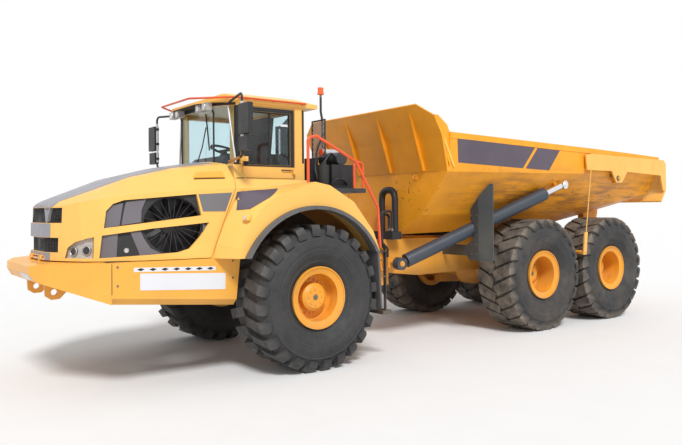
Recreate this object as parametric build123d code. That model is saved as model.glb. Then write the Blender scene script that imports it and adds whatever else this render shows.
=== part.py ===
"""Articulated dump truck with six driven wheels, one STEP file per sub-part.

Modelled in millimetres with x = 0 on the front axle, +X forward, +Y left and z = 0 on the
ground.  The finished solids are moved so that the origin lies on the ground at mid length.
"""
from build123d import *
import os

# ---------------------------------------------------------------- driving dimensions
NOSE_X = 3100               # front face of the bumper
TAIL_X = -8163              # rear end of the tailgate
HINGE_X = -1277             # vertical steering hinge
AXLE_2_X = -4451            # first bogie axle
BOGIE_SPACING = 1940
AXLE_3_X = AXLE_2_X - BOGIE_SPACING
TRACK = 2636
TYRE_R = 905                # out to the lug tips
TYRE_W = 750
RIM_SEAT_R = 317.5
RIM_FLANGE_R = 388
HUB_Z = TYRE_R
WHEEL_Y = TRACK / 2

FIT = 0.3                   # running clearance at pins, bores and seats
MOVE = 8                    # clearance between moving panels
PLATE = 30                  # body and cab panel thickness

# tractor
FRAME_Y = 290               # half distance of the front rails
RAIL_W = 120
FRAME_LOW = 780
FRAME_ARCH = 1060           # underside of the rails over the axle
FRAME_TOP = 1260
SKIRT_Y = 1300
SKIRT_TOP = 1440
SKIRT_FRONT = 2440
SKIRT_REAR = 950
SKIRT_LOW_FRONT = 1000
SKIRT_LOW_REAR = 870
BUMPER_NOSE_Y = 560
WALL_X = 2600               # wall where bumper and frame rails meet
HOOD_LOW = SKIRT_TOP + MOVE
SEAM_LOW_X = 1285           # slanted seam between hood and cowl
SEAM_TOP_X = 950
CAB_Y = 850
CAB_REAR = -300
CAB_FRONT = 900
CAB_FLOOR = 2350
SILL_Z = 2580
ROOF_TOP = 3500
ROOF_DEPTH = 130
GLASS_TOP = ROOF_TOP - ROOF_DEPTH
PILLAR = 75
A_PILLAR_X = 715            # front face of the front pillars
DOOR_REAR = -150
DOOR_FRONT = 640
DOOR_LOW = CAB_FLOOR + 55
DOOR_TOP = GLASS_TOP - 30
DOOR_HINGE = (672, CAB_Y + 28)
DOOR_HINGE_Z = (SILL_Z + 40, GLASS_TOP - 190)
DOOR_PIN_R = 12
ARCH_R = 1085
ARCH_Z = 960
ARCH_X = 55
FENDER_Y = 1610
DECK_Z = 2280
COWL_TOP = 2235
COWL_REAR = -180
BEACON = (-900, 420)
HOOD_HINGE = (2880, 1482)   # x and z of the pins that the hood tips on
HOOD_EARS = (150, -290)     # inner faces of the two ears that carry those pins
HOOD_PIN_R = 14
TOW_EYE_R = 35
TOW_EYE = (2805, 1090)
FAN = (1700, 1830, 330)     # x, z and radius
GRILLE_ROWS = [(1540, 1705, 545), (1870, 2040, 585)]   # low, high and half width

# axles, hinge and steering
SPINDLE_R = 100
SPINDLE_OUT = 20            # spindle end past the wheel's middle, rear axles
FRONT_SPINDLE = 110
BEAM_TOP = HUB_Z - 160
HITCH_LOW = 800
HITCH_HIGH = 1360
HITCH_PIN_R = 70
HITCH_FACE_X = HINGE_X - 330
HITCH_TUBE_END = HINGE_X - 760
STEER_Z = 1010
STEER_ROD = (HINGE_X - 140, 370)
STEER_FOOT = (HINGE_X + 1010, 760)
STEER_PIN_R = 32
STEER_STEM_R = 36
STEER_STEM_START = 450      # inner end of the rod, from the barrel's pin
STEER_BARREL = 840          # from the pin to the gland
STEER_EYE = (44, 66)        # inside and outside of the foot's two plates, from the middle
# rear module
REAR_RAIL_Y = 560
REAR_RAIL_W = 90
REAR_TOP = 1530
ROLL_Z = 1080               # height of the frame's roll axis
ROLL_R = 190
DUMP_X = -7080              # tipping pins
DUMP_Z = 1350
DUMP_PIN_R = 55
GATE_X = -6530              # tailgate pins
GATE_Z = 2520
GATE_PIN_R = 40
HOIST_LOW = (-1975, 880, 1175)
HOIST_TOP = (-5030, 1580, 2380)
HOIST_R = 105
HOIST_ROD_R = 52
HOIST_BALL_R = 75           # spherical bearing at the lower pin
HOIST_PIN_R = 35
HOIST_PIN_GAP = 4           # from the body's ear to the pin's end
HOIST_BARREL = 2930         # from the lower pin to the gland
WIRE_FOOT = (-5421, 1722, 1230)
WIRE_LENGTH = 1450
WIRE_PIN_R = 16
BODY_WALL = 28
LAMP_SHELF_Z = 1590         # top of the posts that carry the tail lamps
JUNCTION = (-2150, -1970, 250, 720, 1650)   # x, x, y, y and top of the hose junction box

# wheels: node suffix, axle x, front?
WHEELS = [
    ("front", 0, True),
    ("middle", AXLE_2_X, False),
    ("rear", AXLE_3_X, False),
]
# tread: lugs in a row, lug width, groove depth, skew in degrees
FRONT_TREAD = (24, 118, 54, 12)
REAR_TREAD = (24, 172, 40, -24)

# hood: x, lower half width, shoulder half width, shoulder z, roof half width, roof z, crown z
HOOD_SECTIONS = [
    (2890, 280, 265, 1840, 200, 1880, 1900),
    (2865, 370, 345, 2020, 270, 2050, 2070),
    (2815, 500, 465, 2045, 370, 2085, 2105),
    (2740, 660, 610, 2070, 480, 2115, 2135),
    (2620, 850, 785, 2100, 600, 2155, 2183),
    (2400, 1030, 960, 2140, 710, 2235, 2265),
    (2020, 1185, 1115, 2190, 780, 2385, 2412),
    (1500, 1262, 1195, 2235, 850, 2500, 2545),
    (900, 1300, 1245, 2260, 905, 2570, 2640),
]
UPPER_VENT = [(2420, 1810), (2395, 1999), (2326, 2077), (2219, 2118), (1428, 2188), (1381, 1940),
              (1964, 1869)]
LOWER_VENT = [(2469, 1482), (2439, 1730), (1966, 1797), (1290, 1858), (1405, 1696), (1538, 1561),
              (1664, 1524)]
LAMP_OPENING = [(2744, 1480), (2721, 1598), (2661, 1663), (2573, 1699), (2505, 1715), (2516, 1480)]
CAB_PLAN = [(CAB_FRONT, 560), (CAB_FRONT - 190, CAB_Y), (CAB_REAR, CAB_Y)]
# load body: x, then y and z of the top rail, the chine, the belly and the floor's edge
BODY_SECTIONS = [
    (-2280, 1655, 3100, 1610, 2530, 1060, 1900, 560, 1600),
    (-5600, 1665, 3025, 1620, 2580, 1080, 1940, 560, 1640),
    (-7000, 1670, 2985, 1640, 2660, 1240, 2080, 700, 1890),
    (-7960, 1675, 2950, 1660, 2700, 1420, 2260, 820, 2080),
]
BODY_FRONT = BODY_SECTIONS[0][0]

# ---------------------------------------------------------------- helpers
def prism_xz(points, y0, y1):
    """Side profile of (x, z) points carried from y0 to y1."""
    face = make_face(Polyline(*points, close=True))
    return Pos(0, (y0 + y1) / 2, 0) * extrude(Plane.XZ * face, amount=abs(y1 - y0) / 2, both=True)


def prism_yz(points, x0, x1):
    """Cross-section of (y, z) points carried from x0 to x1."""
    face = make_face(Polyline(*points, close=True))
    return Pos((x0 + x1) / 2, 0, 0) * extrude(Plane.YZ * face, amount=abs(x1 - x0) / 2, both=True)


def prism_xy(points, z0, z1):
    """Plan of (x, y) points carried from z0 to z1."""
    face = make_face(Polyline(*points, close=True))
    return Pos(0, 0, z0) * extrude(face, amount=z1 - z0)


def block(x0, x1, y0, y1, z0, z1):
    centre = Pos((x0 + x1) / 2, (y0 + y1) / 2, (z0 + z1) / 2)
    return centre * Box(abs(x1 - x0), abs(y1 - y0), abs(z1 - z0))


def bar(start, end, radius):
    """Round bar between two points."""
    a, b = Vector(*start), Vector(*end)
    return extrude(Plane(origin=a, z_dir=b - a) * Circle(radius), amount=(b - a).length)


def cross_bar(x, z, radius, y0, y1):
    """Round bar along Y."""
    return bar((x, min(y0, y1), z), (x, max(y0, y1), z), radius)


def rail(points, bend, radius):
    """Bent tube: straight runs joined by arcs of one radius."""
    path = FilletPolyline(*points, radius=bend)
    return sweep(Plane(origin=path @ 0, z_dir=path % 0) * Circle(radius), path=path)


def both_sides(solid):
    return [solid, mirror(solid, about=Plane.XZ)]


def flat(items):
    out = []
    for item in items:
        if isinstance(item, (list, tuple)):
            out += flat(item)
        else:
            out += item.solids()
    return out


NODES = {}


def node(name, *items):
    solids = flat(items)
    NODES[name] = solids[0] if len(solids) == 1 else Compound(children=solids)


def mirrored_profile(half):
    """Closed outline from the right-hand half's (y, z) points, listed from the middle out."""
    return [(y, z) for y, z in half] + [(-y, z) for y, z in reversed(half)]


# ---------------------------------------------------------------- tractor chassis
def front_frame():
    outer = FRAME_Y + RAIL_W / 2
    inner = FRAME_Y - RAIL_W / 2
    rear = HINGE_X + 330
    profile = [(WALL_X, FRAME_TOP), (WALL_X, SKIRT_LOW_FRONT + 120), (SKIRT_FRONT, SKIRT_LOW_FRONT + 50),
               (1100, 900), (600, FRAME_ARCH), (-500, FRAME_ARCH), (rear, FRAME_LOW), (rear, FRAME_TOP)]
    rails = both_sides(prism_xz(profile, inner, outer))
    cross = [block(x, x + 120, -inner, inner, FRAME_TOP - 150, FRAME_TOP) for x in (WALL_X - 120, 900, -400)]
    ear = [(rear, -outer), (rear, outer), (HINGE_X + 60, 170), (HINGE_X - 130, 120),
           (HINGE_X - 130, -120), (HINGE_X + 60, -170)]
    ears = [prism_xy(ear, z, z + 70) for z in (HITCH_LOW - 70 - MOVE, HITCH_HIGH + MOVE)]
    back = block(rear, rear + 60, -outer, outer, HITCH_LOW - 70 - MOVE, HITCH_HIGH + 70 + MOVE)
    frame = rails[0].fuse(rails[1], *cross, *ears, back)
    return frame - bar((HINGE_X, 0, 500), (HINGE_X, 0, 1800), HITCH_PIN_R + FIT)


def hitch():
    """Vertical pins, yoke and the tube that the rear frame rolls on."""
    yoke = [(HINGE_X + 130, -110), (HINGE_X + 130, 110), (HITCH_FACE_X, 260), (HITCH_FACE_X, -260)]
    body = prism_xy(yoke, HITCH_LOW, HITCH_HIGH)
    pin = bar((HINGE_X, 0, HITCH_LOW - 100 - MOVE), (HINGE_X, 0, HITCH_HIGH + 100 + MOVE), HITCH_PIN_R)
    tube = bar((HITCH_FACE_X, 0, ROLL_Z), (HITCH_TUBE_END, 0, ROLL_Z), ROLL_R)
    x, y = STEER_ROD
    arm = [(HITCH_FACE_X, 200), (HINGE_X - 150, 190), (x + 60, y + 60), (x - 40, y + 90), (HITCH_FACE_X, 400)]
    arms = both_sides(prism_xy(arm, STEER_Z - 90, STEER_Z - 40))
    return body.fuse(pin, tube, *arms)


def steering_axis():
    a = Vector(STEER_FOOT[0], STEER_FOOT[1], STEER_Z)
    b = Vector(STEER_ROD[0], STEER_ROD[1], STEER_Z)
    return a, b, (b - a).normalized(), (b - a).length


def steer_barrel():
    a, b, way, length = steering_axis()
    tube = bar(a + way * 110, a + way * STEER_BARREL, 60)
    neck = bar(a + way * 30, a + way * 130, 34)
    eye = Pos(*a) * Cylinder(72, 70)
    part = tube.fuse(neck, eye)
    part -= bar(a + way * 150, a + way * length, STEER_STEM_R + FIT)
    return part - Pos(*a) * Cylinder(STEER_PIN_R + FIT, 200)


def steer_rod():
    a, b, way, length = steering_axis()
    stem = bar(a + way * STEER_STEM_START, b, STEER_STEM_R)
    eye = Pos(*b) * Cylinder(65, 2 * 40 - MOVE)
    return stem.fuse(eye)


def steer_foot():
    """Bracket and pin on the front rail that carry a steering barrel."""
    x, y = STEER_FOOT
    outer = FRAME_Y + RAIL_W / 2
    near, far = STEER_EYE
    plates = [block(x - 60, x + 60, outer, y + 80, STEER_Z + a, STEER_Z + b) for a, b in ((-far,
              -near), (near, far))]
    web = block(x - 60, x + 60, outer, y - 200, STEER_Z - far, STEER_Z + far)
    pin = Pos(x, y, STEER_Z) * Cylinder(STEER_PIN_R, 2 * far + 40)
    return web.fuse(*plates, pin)


def differential(x, radius):
    """Round housing in the middle of an axle."""
    half = [(0, 235), (150, 235), (radius, 110)]
    outline = half + [(r, -y) for r, y in reversed(half)]
    face = Plane.XY * make_face(Polyline(*outline, close=True))
    return Pos(x, 0, HUB_Z) * revolve(face, axis=Axis.Y)


def front_axle():
    z = HUB_Z
    beam = cross_bar(0, z, 150, -930, 930)
    diff = differential(0, 285)
    hubs = [cross_bar(0, z, 200, 800 * s, 985 * s) for s in (1, -1)]
    spindles = [cross_bar(0, z, SPINDLE_R, 985 * s, (WHEEL_Y + FRONT_SPINDLE) * s) for s in (1, -1)]
    pads = [block(-110, 110, s * (FRAME_Y - 60), s * (FRAME_Y + 60), z + 90, FRAME_ARCH) for s in (1, -1)]
    return beam.fuse(diff, *hubs, *spindles, *pads)


# ---------------------------------------------------------------- wheels
def turned(profile):
    """Ring about the Y axis from half of its (y, r) outline, listed from the bead to the crown."""
    outline = profile + [(-y, r) for y, r in reversed(profile)]
    face = make_face(Polyline(*outline, close=True))
    return revolve(Plane(origin=(0, 0, 0), x_dir=(0, 1, 0), z_dir=(1, 0, 0)) * face, axis=Axis.Y)


def tread_lug(width, depth, skew):
    """One bar of the tread at the foot of the tyre, from the middle round the shoulder."""
    half = TYRE_W / 2
    shoulder = [(half - 55, TYRE_R), (half - 8, TYRE_R - 60), (half - 2, TYRE_R - 140)]
    outline = [(14, TYRE_R - depth - 12), (14, TYRE_R + 20), (half + 10, TYRE_R + 20),
               (half + 10, TYRE_R - 135), (half - 60, TYRE_R - 150)]
    slab = Rot(0, 0, skew) * prism_yz([(y, -r) for y, r in outline], -width / 2, width / 2)
    envelope = turned([(half - 2, TYRE_R - 220)] + shoulder[::-1])
    return slab & envelope


def tyre(tread):
    """Carcass with two staggered rows of lugs, about the origin with its outside on +Y."""
    count, width, depth, skew = tread
    half = TYRE_W / 2
    base = TYRE_R - depth
    carcass = turned([(250, RIM_SEAT_R + FIT), (270, RIM_FLANGE_R + 6), (half - 22, 540), (half, 650),
                      (half - 14, TYRE_R - 155), (half - 62, base - 22), (half - 110, base)])
    outer = tread_lug(width, depth, skew)
    inner = mirror(outer, about=Plane.XZ)
    pitch = 360 / count
    rows = [Rot(0, pitch * i, 0) * outer for i in range(count)]
    rows += [Rot(0, pitch * (i + 0.5), 0) * inner for i in range(count)]
    return carcass.fuse(*rows)


def rim(front):
    """Barrel with two flanges, web and hub, about the origin with its outside on +Y."""
    reach = (FRONT_SPINDLE if front else SPINDLE_OUT) + MOVE
    web = 60 if front else -90
    hub_out = 215 if front else 60
    hub_r = 175 if front else 165
    outline = [(-330, RIM_SEAT_R - 22), (web - 25, RIM_SEAT_R - 22), (web - 25, SPINDLE_R + FIT),
               (reach, SPINDLE_R + FIT), (reach, 0), (hub_out, 0), (hub_out, hub_r - 40),
               (hub_out - 30, hub_r), (web + 20, hub_r)]
    outline += [(web + 20, RIM_SEAT_R - 40), (web + 60, RIM_SEAT_R - 22), (275, RIM_SEAT_R - 22),
                (300, RIM_FLANGE_R - 14), (312, RIM_FLANGE_R - 14), (312, RIM_FLANGE_R), (278, RIM_FLANGE_R),
                (278, RIM_FLANGE_R - 28), (255, RIM_SEAT_R), (-255, RIM_SEAT_R), (-278, RIM_FLANGE_R - 28),
                (-278, RIM_FLANGE_R), (-330, RIM_FLANGE_R)]
    face = make_face(Polyline(*outline, close=True))
    return revolve(Plane(origin=(0, 0, 0), x_dir=(0, 1, 0), z_dir=(1, 0, 0)) * face, axis=Axis.Y)


def on_wheel(solid, x, side):
    """Puts a wheel's solid on its axle, turned over for the right side."""
    placed = solid if side > 0 else mirror(solid, about=Plane.XZ)
    return Pos(x, side * WHEEL_Y, HUB_Z) * placed


# ---------------------------------------------------------------- tractor body
def bumper():
    side = [(NOSE_X, 1405), (NOSE_X, 1320), (NOSE_X - 60, 1230), (SKIRT_FRONT, SKIRT_LOW_FRONT),
            (SKIRT_FRONT, SKIRT_TOP), (NOSE_X - 80, SKIRT_TOP - 10)]
    plan = [(NOSE_X, -BUMPER_NOSE_Y), (NOSE_X, BUMPER_NOSE_Y), (NOSE_X - 130, 760),
            (SKIRT_FRONT, SKIRT_Y), (SKIRT_FRONT, -SKIRT_Y), (NOSE_X - 130, -760)]
    solid = prism_xz(side, -SKIRT_Y, SKIRT_Y) & prism_xy(plan, 900, 1500)
    side_in = [(NOSE_X - 60, 1385), (NOSE_X - 60, 1325), (NOSE_X - 105, 1270), (SKIRT_FRONT, 1042),
               (SKIRT_FRONT, SKIRT_TOP - 30), (NOSE_X - 100, SKIRT_TOP - 40)]
    plan_in = [(NOSE_X - 40, -BUMPER_NOSE_Y + 20), (NOSE_X - 40, BUMPER_NOSE_Y - 20), (NOSE_X - 160, 725),
               (SKIRT_FRONT - 10, SKIRT_Y - 40), (SKIRT_FRONT - 10, -SKIRT_Y + 40), (NOSE_X - 160, -725)]
    inner = prism_xz(side_in, -SKIRT_Y, SKIRT_Y) & prism_xy(plan_in, 900, 1500)
    shell = solid - inner
    # closing wall that bolts on the front of the frame rails
    wall = block(WALL_X, WALL_X + 40, -1080, 1080, 1120, 1380)
    return shell.fuse(wall) - block(WALL_X, WALL_X + 40, -60, 60, 1180, 1300)


def tow_lugs():
    """Two lugs below the bumper, each with a cross bore for a shackle."""
    x, z = TOW_EYE
    lug = [(x + 110, 1300), (x + 95, z - 40), (x + 30, z - 85), (x - 60, z - 80), (x - 330, 1290)]
    plate = prism_xz(lug, 395, 435)
    keep = prism_xz([(NOSE_X, 900), (2400, 900), (2400, 950), (2480, 1030), (NOSE_X - 60, 1245)], 300, 500)
    lugs = plate & keep
    lugs -= cross_bar(x, z, TOW_EYE_R, 300, 500)
    return both_sides(lugs)


def skirts():
    wall = [(SKIRT_FRONT, SKIRT_LOW_FRONT + 70), (SKIRT_FRONT, SKIRT_TOP), (SKIRT_REAR - 30, SKIRT_TOP),
            (SKIRT_REAR + 25, SKIRT_LOW_REAR + 70)]
    outer = prism_xz(wall, SKIRT_Y - PLATE, SKIRT_Y)
    tops = block(SKIRT_REAR + 30, SKIRT_FRONT, SKIRT_Y - 170, SKIRT_Y - PLATE, SKIRT_TOP - PLATE, SKIRT_TOP)
    fold = [(SKIRT_Y, 70), (SKIRT_Y, 95), (SKIRT_Y - PLATE, 95), (SKIRT_Y - 160, 20), (SKIRT_Y - 160, 0),
            (SKIRT_Y - 70, 0)]
    ends = []
    for x, base in ((SKIRT_REAR + 30, SKIRT_LOW_REAR), (SKIRT_FRONT, SKIRT_LOW_FRONT)):
        ends.append(Plane.YZ.offset(x) * make_face(Polyline(*[(y, z + base) for y, z in fold], close=True)))
    low = loft(ends, ruled=True)
    brackets = [block(x, x + 60, FRAME_Y + RAIL_W / 2, SKIRT_Y - PLATE, FRAME_TOP - 90, FRAME_TOP - 30)
                for x in (2300, 1300)]
    return both_sides(outer.fuse(tops, low, *brackets))


def hood_outline(x, low, shoulder, z_shoulder, roof, z_roof, crown, inset, base):
    half = [(low - inset, base), (shoulder - inset, z_shoulder - inset * 0.5), (roof - inset * 0.5,
            z_roof - inset)]
    left = Polyline(*half)
    top = ThreePointArc(half[-1], (0, crown - inset), (-half[-1][0], half[-1][1]))
    right = Polyline(*[(-y, z) for y, z in reversed(half)])
    bottom = Line((-(low - inset), base), (low - inset, base))
    return Plane.YZ.offset(x) * make_face([left, top, right, bottom])


def hood_solid(inset, front_inset, base):
    rows = [(row[0] - front_inset, *row[1:]) for row in HOOD_SECTIONS]
    return loft([hood_outline(*row, inset, base) for row in rows], ruled=True)


def seam_cut(offset):
    """Everything behind the slanted seam between hood and cowl."""
    slope = (SEAM_TOP_X - SEAM_LOW_X) / (2240 - SKIRT_TOP)
    low = SEAM_LOW_X + offset + slope * (1300 - SKIRT_TOP)
    high = SEAM_LOW_X + offset + slope * (2800 - SKIRT_TOP)
    return prism_xz([(low, 1300), (high, 2800), (-500, 2800), (-500, 1300)], -1600, 1600)


def hood():
    shell = hood_solid(0, 0, HOOD_LOW) - hood_solid(PLATE, PLATE, HOOD_LOW - 1)
    shell -= seam_cut(MOVE / 2)
    for hole in (UPPER_VENT, LOWER_VENT, LAMP_OPENING):
        shell -= prism_xz(hole, -1400, 1400)
    for low, high, half in GRILLE_ROWS:
        shell -= block(2650, 3000, -half, half, low, high)
    x, z = HOOD_HINGE
    lug = [(x + 24, z - 28), (x - 40, z - 28), (x - 60, z + 54), (x + 6, z + 54)]
    lugs = []
    for inner, near, far in zip(HOOD_EARS, (200, -240), (260, -180)):
        shell -= block(x - 60, x + 60, inner - 10, far, HOOD_LOW - 1, z + 36)
        lugs.append(prism_xz(lug, near, near + 40))
    part = shell.fuse(*lugs)
    part -= cross_bar(x, z, HOOD_PIN_R + FIT, -300, 300)
    return part


def hood_hinge():
    """Two ears and pins on the bumper's top that the hood tips forward on."""
    ears = []
    for inner in HOOD_EARS:
        x, z = HOOD_HINGE
        foot = SKIRT_TOP - 20
        ear = prism_xz([(x - 30, foot), (x + 30, foot), (x + 22, z + 22), (x - 22, z + 22)],
                       inner, inner + 40)
        pin = cross_bar(x, z, HOOD_PIN_R, inner, inner + 100)
        ears.append(ear.fuse(pin))
    return ears


# ---------------------------------------------------------------- cowl, fenders and deck
def arch(radius, y0, y1):
    return Pos(0, 0, ARCH_Z) * cross_bar(ARCH_X, 0, radius, y0, y1)


def cowl():
    """Wide panel between hood and cab, closed on top, that the fenders bolt to."""
    row_front = HOOD_SECTIONS[-2]
    row_rear = HOOD_SECTIONS[-1]
    faces = [hood_outline(*row_front, 0, SKIRT_TOP), hood_outline(*row_rear, 0, SKIRT_TOP),
             hood_outline(COWL_REAR, *row_rear[1:], 0, SKIRT_TOP)]
    shape = loft(faces[:2], ruled=True).fuse(loft(faces[1:], ruled=True))
    x, low, shoulder, z_shoulder, top, z_top, crown = row_rear
    inner = mirrored_profile([(low - 60, SKIRT_TOP - 140), (low - 60, z_shoulder - 80),
                              (top - 25, z_top - 130)])
    shape -= prism_yz(inner, COWL_REAR - 10, row_front[0] + 100)
    shape &= seam_cut(-MOVE / 2)
    shape -= arch(ARCH_R, -1400, 1400)
    shape -= block(-2000, COWL_REAR, -1400, 1400, 1000, 3000)
    liners = (arch(ARCH_R + PLATE, 640, low - 60) - arch(ARCH_R, 600, 1400))
    liners &= block(COWL_REAR, 2000, 600, 1400, SKIRT_TOP + 5, 2300)
    shape = shape.fuse(*both_sides(liners))
    # seat for the cab
    shape -= prism_xy(cab_plan(-20), CAB_FLOOR, 3000)
    return shape - block(-2000, DOOR_HINGE[0] + 60, -1400, 1400, CAB_FLOOR + PLATE, 3000)


def fenders():
    """Side bulge over the wheel arch, from the cowl's side out to the flare."""
    inside = SKIRT_Y + 1
    rear_x = ARCH_X - 1040
    top = [(40, COWL_TOP + 105), (COWL_REAR, COWL_TOP + 65), (-560, 2090), (-880, 1700), (rear_x, SKIRT_TOP)]
    root = [(1262, SKIRT_TOP), (1225, 1600), (1120, 1850), (1000, 2080), (860, COWL_TOP)] + top
    edge = [(1095, SKIRT_TOP), (1075, 1560), (960, 1800), (820, 1990), (640, 2130)] + top
    ends = [Pos(0, y, 0) * (Plane.XZ * make_face(Polyline(*points, close=True)))
            for y, points in ((inside, root), (FENDER_Y, edge))]
    outer = loft(ends, ruled=True)
    outer -= arch(ARCH_R, 1200, FENDER_Y + 90)
    rear_fill = prism_xz(root, 930, inside) & block(-1200, COWL_REAR, 930, inside, 1000, 2400)
    rear_fill -= arch(ARCH_R, 900, 1400)
    rear_fill -= block(rear_x - 55, COWL_REAR, 900, inside, DECK_Z - 60, 2400)
    return both_sides(outer.fuse(rear_fill))


def flares():
    """Rubber edge round each arch with the flap that hangs behind the wheel."""
    ring = arch(ARCH_R, FENDER_Y - 60, FENDER_Y + 75) - arch(ARCH_R - 45, 1400, 1800)
    ring -= block(-2000, 2000, 1400, 1800, -500, SKIRT_TOP)
    flap = [(-915, SKIRT_TOP), (-885, SKIRT_TOP), (-935, 690), (-960, 690)]
    ring = ring.fuse(prism_xz(flap, 960, FENDER_Y + 75))
    return both_sides(ring)


def deck():
    plate = block(-1040, COWL_REAR - 1, -1250, 1250, DECK_Z - 60, DECK_Z)
    legs = [block(-760, -640, y, y + 60, FRAME_TOP, DECK_Z - 60) for y in (-FRAME_Y - 30, FRAME_Y - 30)]
    plate = plate - block(-400, 0, -CAB_Y - 10, CAB_Y + 10, DECK_Z - 100, DECK_Z + 10)
    # beams under the cab, with the mounts that it stands on
    beams = [block(-640, 640, y, y + 80, DECK_Z - 60, DECK_Z) for y in (-480, 400)]
    mounts = [block(x, x + 80, y, y + 80, DECK_Z - 60, CAB_FLOOR) for x in (-250, 560) for y in (-480, 400)]
    return plate.fuse(*legs, *beams, *mounts, block(-640, -400, -300, 300, DECK_Z - 60, DECK_Z))


def deck_boxes():
    """Plain service boxes on the deck behind the cab."""
    z = DECK_Z
    return [block(-560, -400, 360, 800, z, z + 420), block(-980, -620, 520, 1040, z, z + 330),
            block(-980, -420, -900, -360, z, z + 560), block(-1010, -640, -300, 450, z, z + 250)]


def muffler():
    radius = 90
    return cross_bar(-820, DECK_Z + 330 + radius, radius, 560, 1000)


def screen():
    """Guard of round bars between deck and roof height."""
    z0, z1 = DECK_Z, 3260
    x = -590
    plate = block(x - 6, x + 6, -330, 330, z0 + 250, z1)
    for i in range(8):
        plate -= block(x - 20, x + 20, -300 + i * 76, -300 + i * 76 + 68, z0 + 300, z1 - 40)
    posts = [block(x - 16, x + 16, s * 330, s * 360, z0, z1) for s in (1, -1)]
    return plate.fuse(*posts)


def exhaust():
    x, y = -900, -620
    pipe = bar((x, y, DECK_Z + 560), (x, y, 3300), 62)
    tip = bar((x, y, 3300), (x - 130, y, 3430), 62)
    return pipe.fuse(tip)


def beacon():
    x, y = BEACON
    mast = rail([(x, y, DECK_Z + 250), (x, y, 3300), (x + 25, y, 3420), (x + 25, y, 3680)], 20, 17)
    base = bar((x + 25, y, 3668), (x + 25, y, 3690), 48)
    lamp = bar((x + 25, y, 3690), (x + 25, y, 3768), 42)
    return mast.fuse(base), lamp


# ---------------------------------------------------------------- cab
def cab_plan(inset):
    half = [(x - (inset if x > 0 else -inset), y - inset) for x, y in CAB_PLAN]
    return half + [(x, -y) for x, y in reversed(half)]


def cab_shell():
    shell = prism_xy(cab_plan(0), CAB_FLOOR, GLASS_TOP)
    shell -= prism_xy(cab_plan(PILLAR), CAB_FLOOR + 40, GLASS_TOP + 1)
    # windscreen, rear window, right window and the left doorway
    shell -= block(A_PILLAR_X, 1100, -900, 900, SILL_Z, GLASS_TOP - 40)
    shell -= block(CAB_REAR + 80, 660, -1000, -CAB_Y + PILLAR, SILL_Z, GLASS_TOP - 50)
    shell -= block(CAB_REAR - 10, CAB_REAR + PILLAR, -700, 700, SILL_Z, GLASS_TOP - 50)
    shell -= block(DOOR_REAR, DOOR_FRONT, CAB_Y - PILLAR - 10, 1000, DOOR_LOW, DOOR_TOP)
    x, y = DOOR_HINGE
    pins = [bar((x, y, z - 30), (x, y, z + 90), DOOR_PIN_R) for z in DOOR_HINGE_Z]
    ears = [block(x - 14, x + 14, CAB_Y - 10, y + 14, z - 30, z - 2) for z in DOOR_HINGE_Z]
    return shell.fuse(*pins, *ears)


def door():
    frame = block(DOOR_REAR + MOVE, DOOR_FRONT - MOVE, CAB_Y - 45, CAB_Y, DOOR_LOW + MOVE, DOOR_TOP - MOVE)
    frame -= block(DOOR_REAR + 75, DOOR_FRONT - 75, CAB_Y - 100, CAB_Y + 100, SILL_Z, DOOR_TOP - 70)
    x, y = DOOR_HINGE
    part = frame
    for z in DOOR_HINGE_Z:
        part = part.fuse(block(DOOR_FRONT - 60, DOOR_FRONT - MOVE, CAB_Y, CAB_Y + 46, z, z + 60),
                         block(DOOR_FRONT - 60, x + 16, y - 16, CAB_Y + 46, z, z + 60))
    for z in DOOR_HINGE_Z:
        part -= bar((x, y, z - 5), (x, y, z + 120), DOOR_PIN_R + FIT)
    grip = block(DOOR_REAR + 20, DOOR_REAR + 50, CAB_Y, CAB_Y + 45, 2470, 2540)
    return part.fuse(grip)


def door_glass():
    return block(DOOR_REAR + 75, DOOR_FRONT - 75, CAB_Y - 26, CAB_Y - 20, SILL_Z, DOOR_TOP - 70)


def cab_glass():
    front = prism_xy(cab_plan(34), SILL_Z, GLASS_TOP - 40) - prism_xy(cab_plan(40), SILL_Z - 1, GLASS_TOP)
    front &= block(A_PILLAR_X, 1100, -900, 900, SILL_Z, GLASS_TOP)
    rear = block(CAB_REAR + 30, CAB_REAR + 36, -700, 700, SILL_Z, GLASS_TOP - 50)
    right = block(CAB_REAR + 80, 660, -CAB_Y + 30, -CAB_Y + 36, SILL_Z, GLASS_TOP - 50)
    return [front, rear, right]


def roof():
    edge = CAB_Y + 30
    back = CAB_REAR - 200
    plan = [(1060, 330), (960, 620), (820, 800), (700, edge), (back, edge)]
    outer = prism_xy(plan + [(x, -y) for x, y in reversed(plan)], GLASS_TOP, ROOF_TOP)
    side = [(1060, GLASS_TOP), (1060, GLASS_TOP + 0.2 * ROOF_DEPTH), (860, ROOF_TOP - 0.23 * ROOF_DEPTH),
            (500, ROOF_TOP), (back + 250, ROOF_TOP), (back, GLASS_TOP + 0.4 * ROOF_DEPTH), (back, GLASS_TOP)]
    cross = mirrored_profile([(edge, GLASS_TOP), (edge, GLASS_TOP + 0.4 * ROOF_DEPTH), (edge - 180,
                              ROOF_TOP)])
    return outer & prism_xz(side, -edge - 20, edge + 20) & prism_yz(cross, back - 100, 1200)


def cab_interior():
    z = CAB_FLOOR + 40
    base = block(-60, 300, -200, 260, z, z + 170)
    seat = prism_xz([(330, z + 170), (330, z + 290), (60, z + 290), (-40, z + 900), (-160, z + 900),
                     (-90, z + 170)],
                    -230, 290)
    column = bar((640, 30, z + 120), (470, 30, z + 420), 36)
    wheel = Pos(470, 30, z + 430) * Rot(0, -18, 0) * (Cylinder(205, 26) - Cylinder(176, 26))
    spoke = Pos(470, 30, z + 430) * Rot(0, -18, 0) * Box(40, 380, 20)
    dash = prism_xz([(620, z), (770, z), (770, z + 250), (680, z + 330), (560, z + 300)], -480, 480)
    return base.fuse(seat), column.fuse(wheel, spoke, dash)


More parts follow.
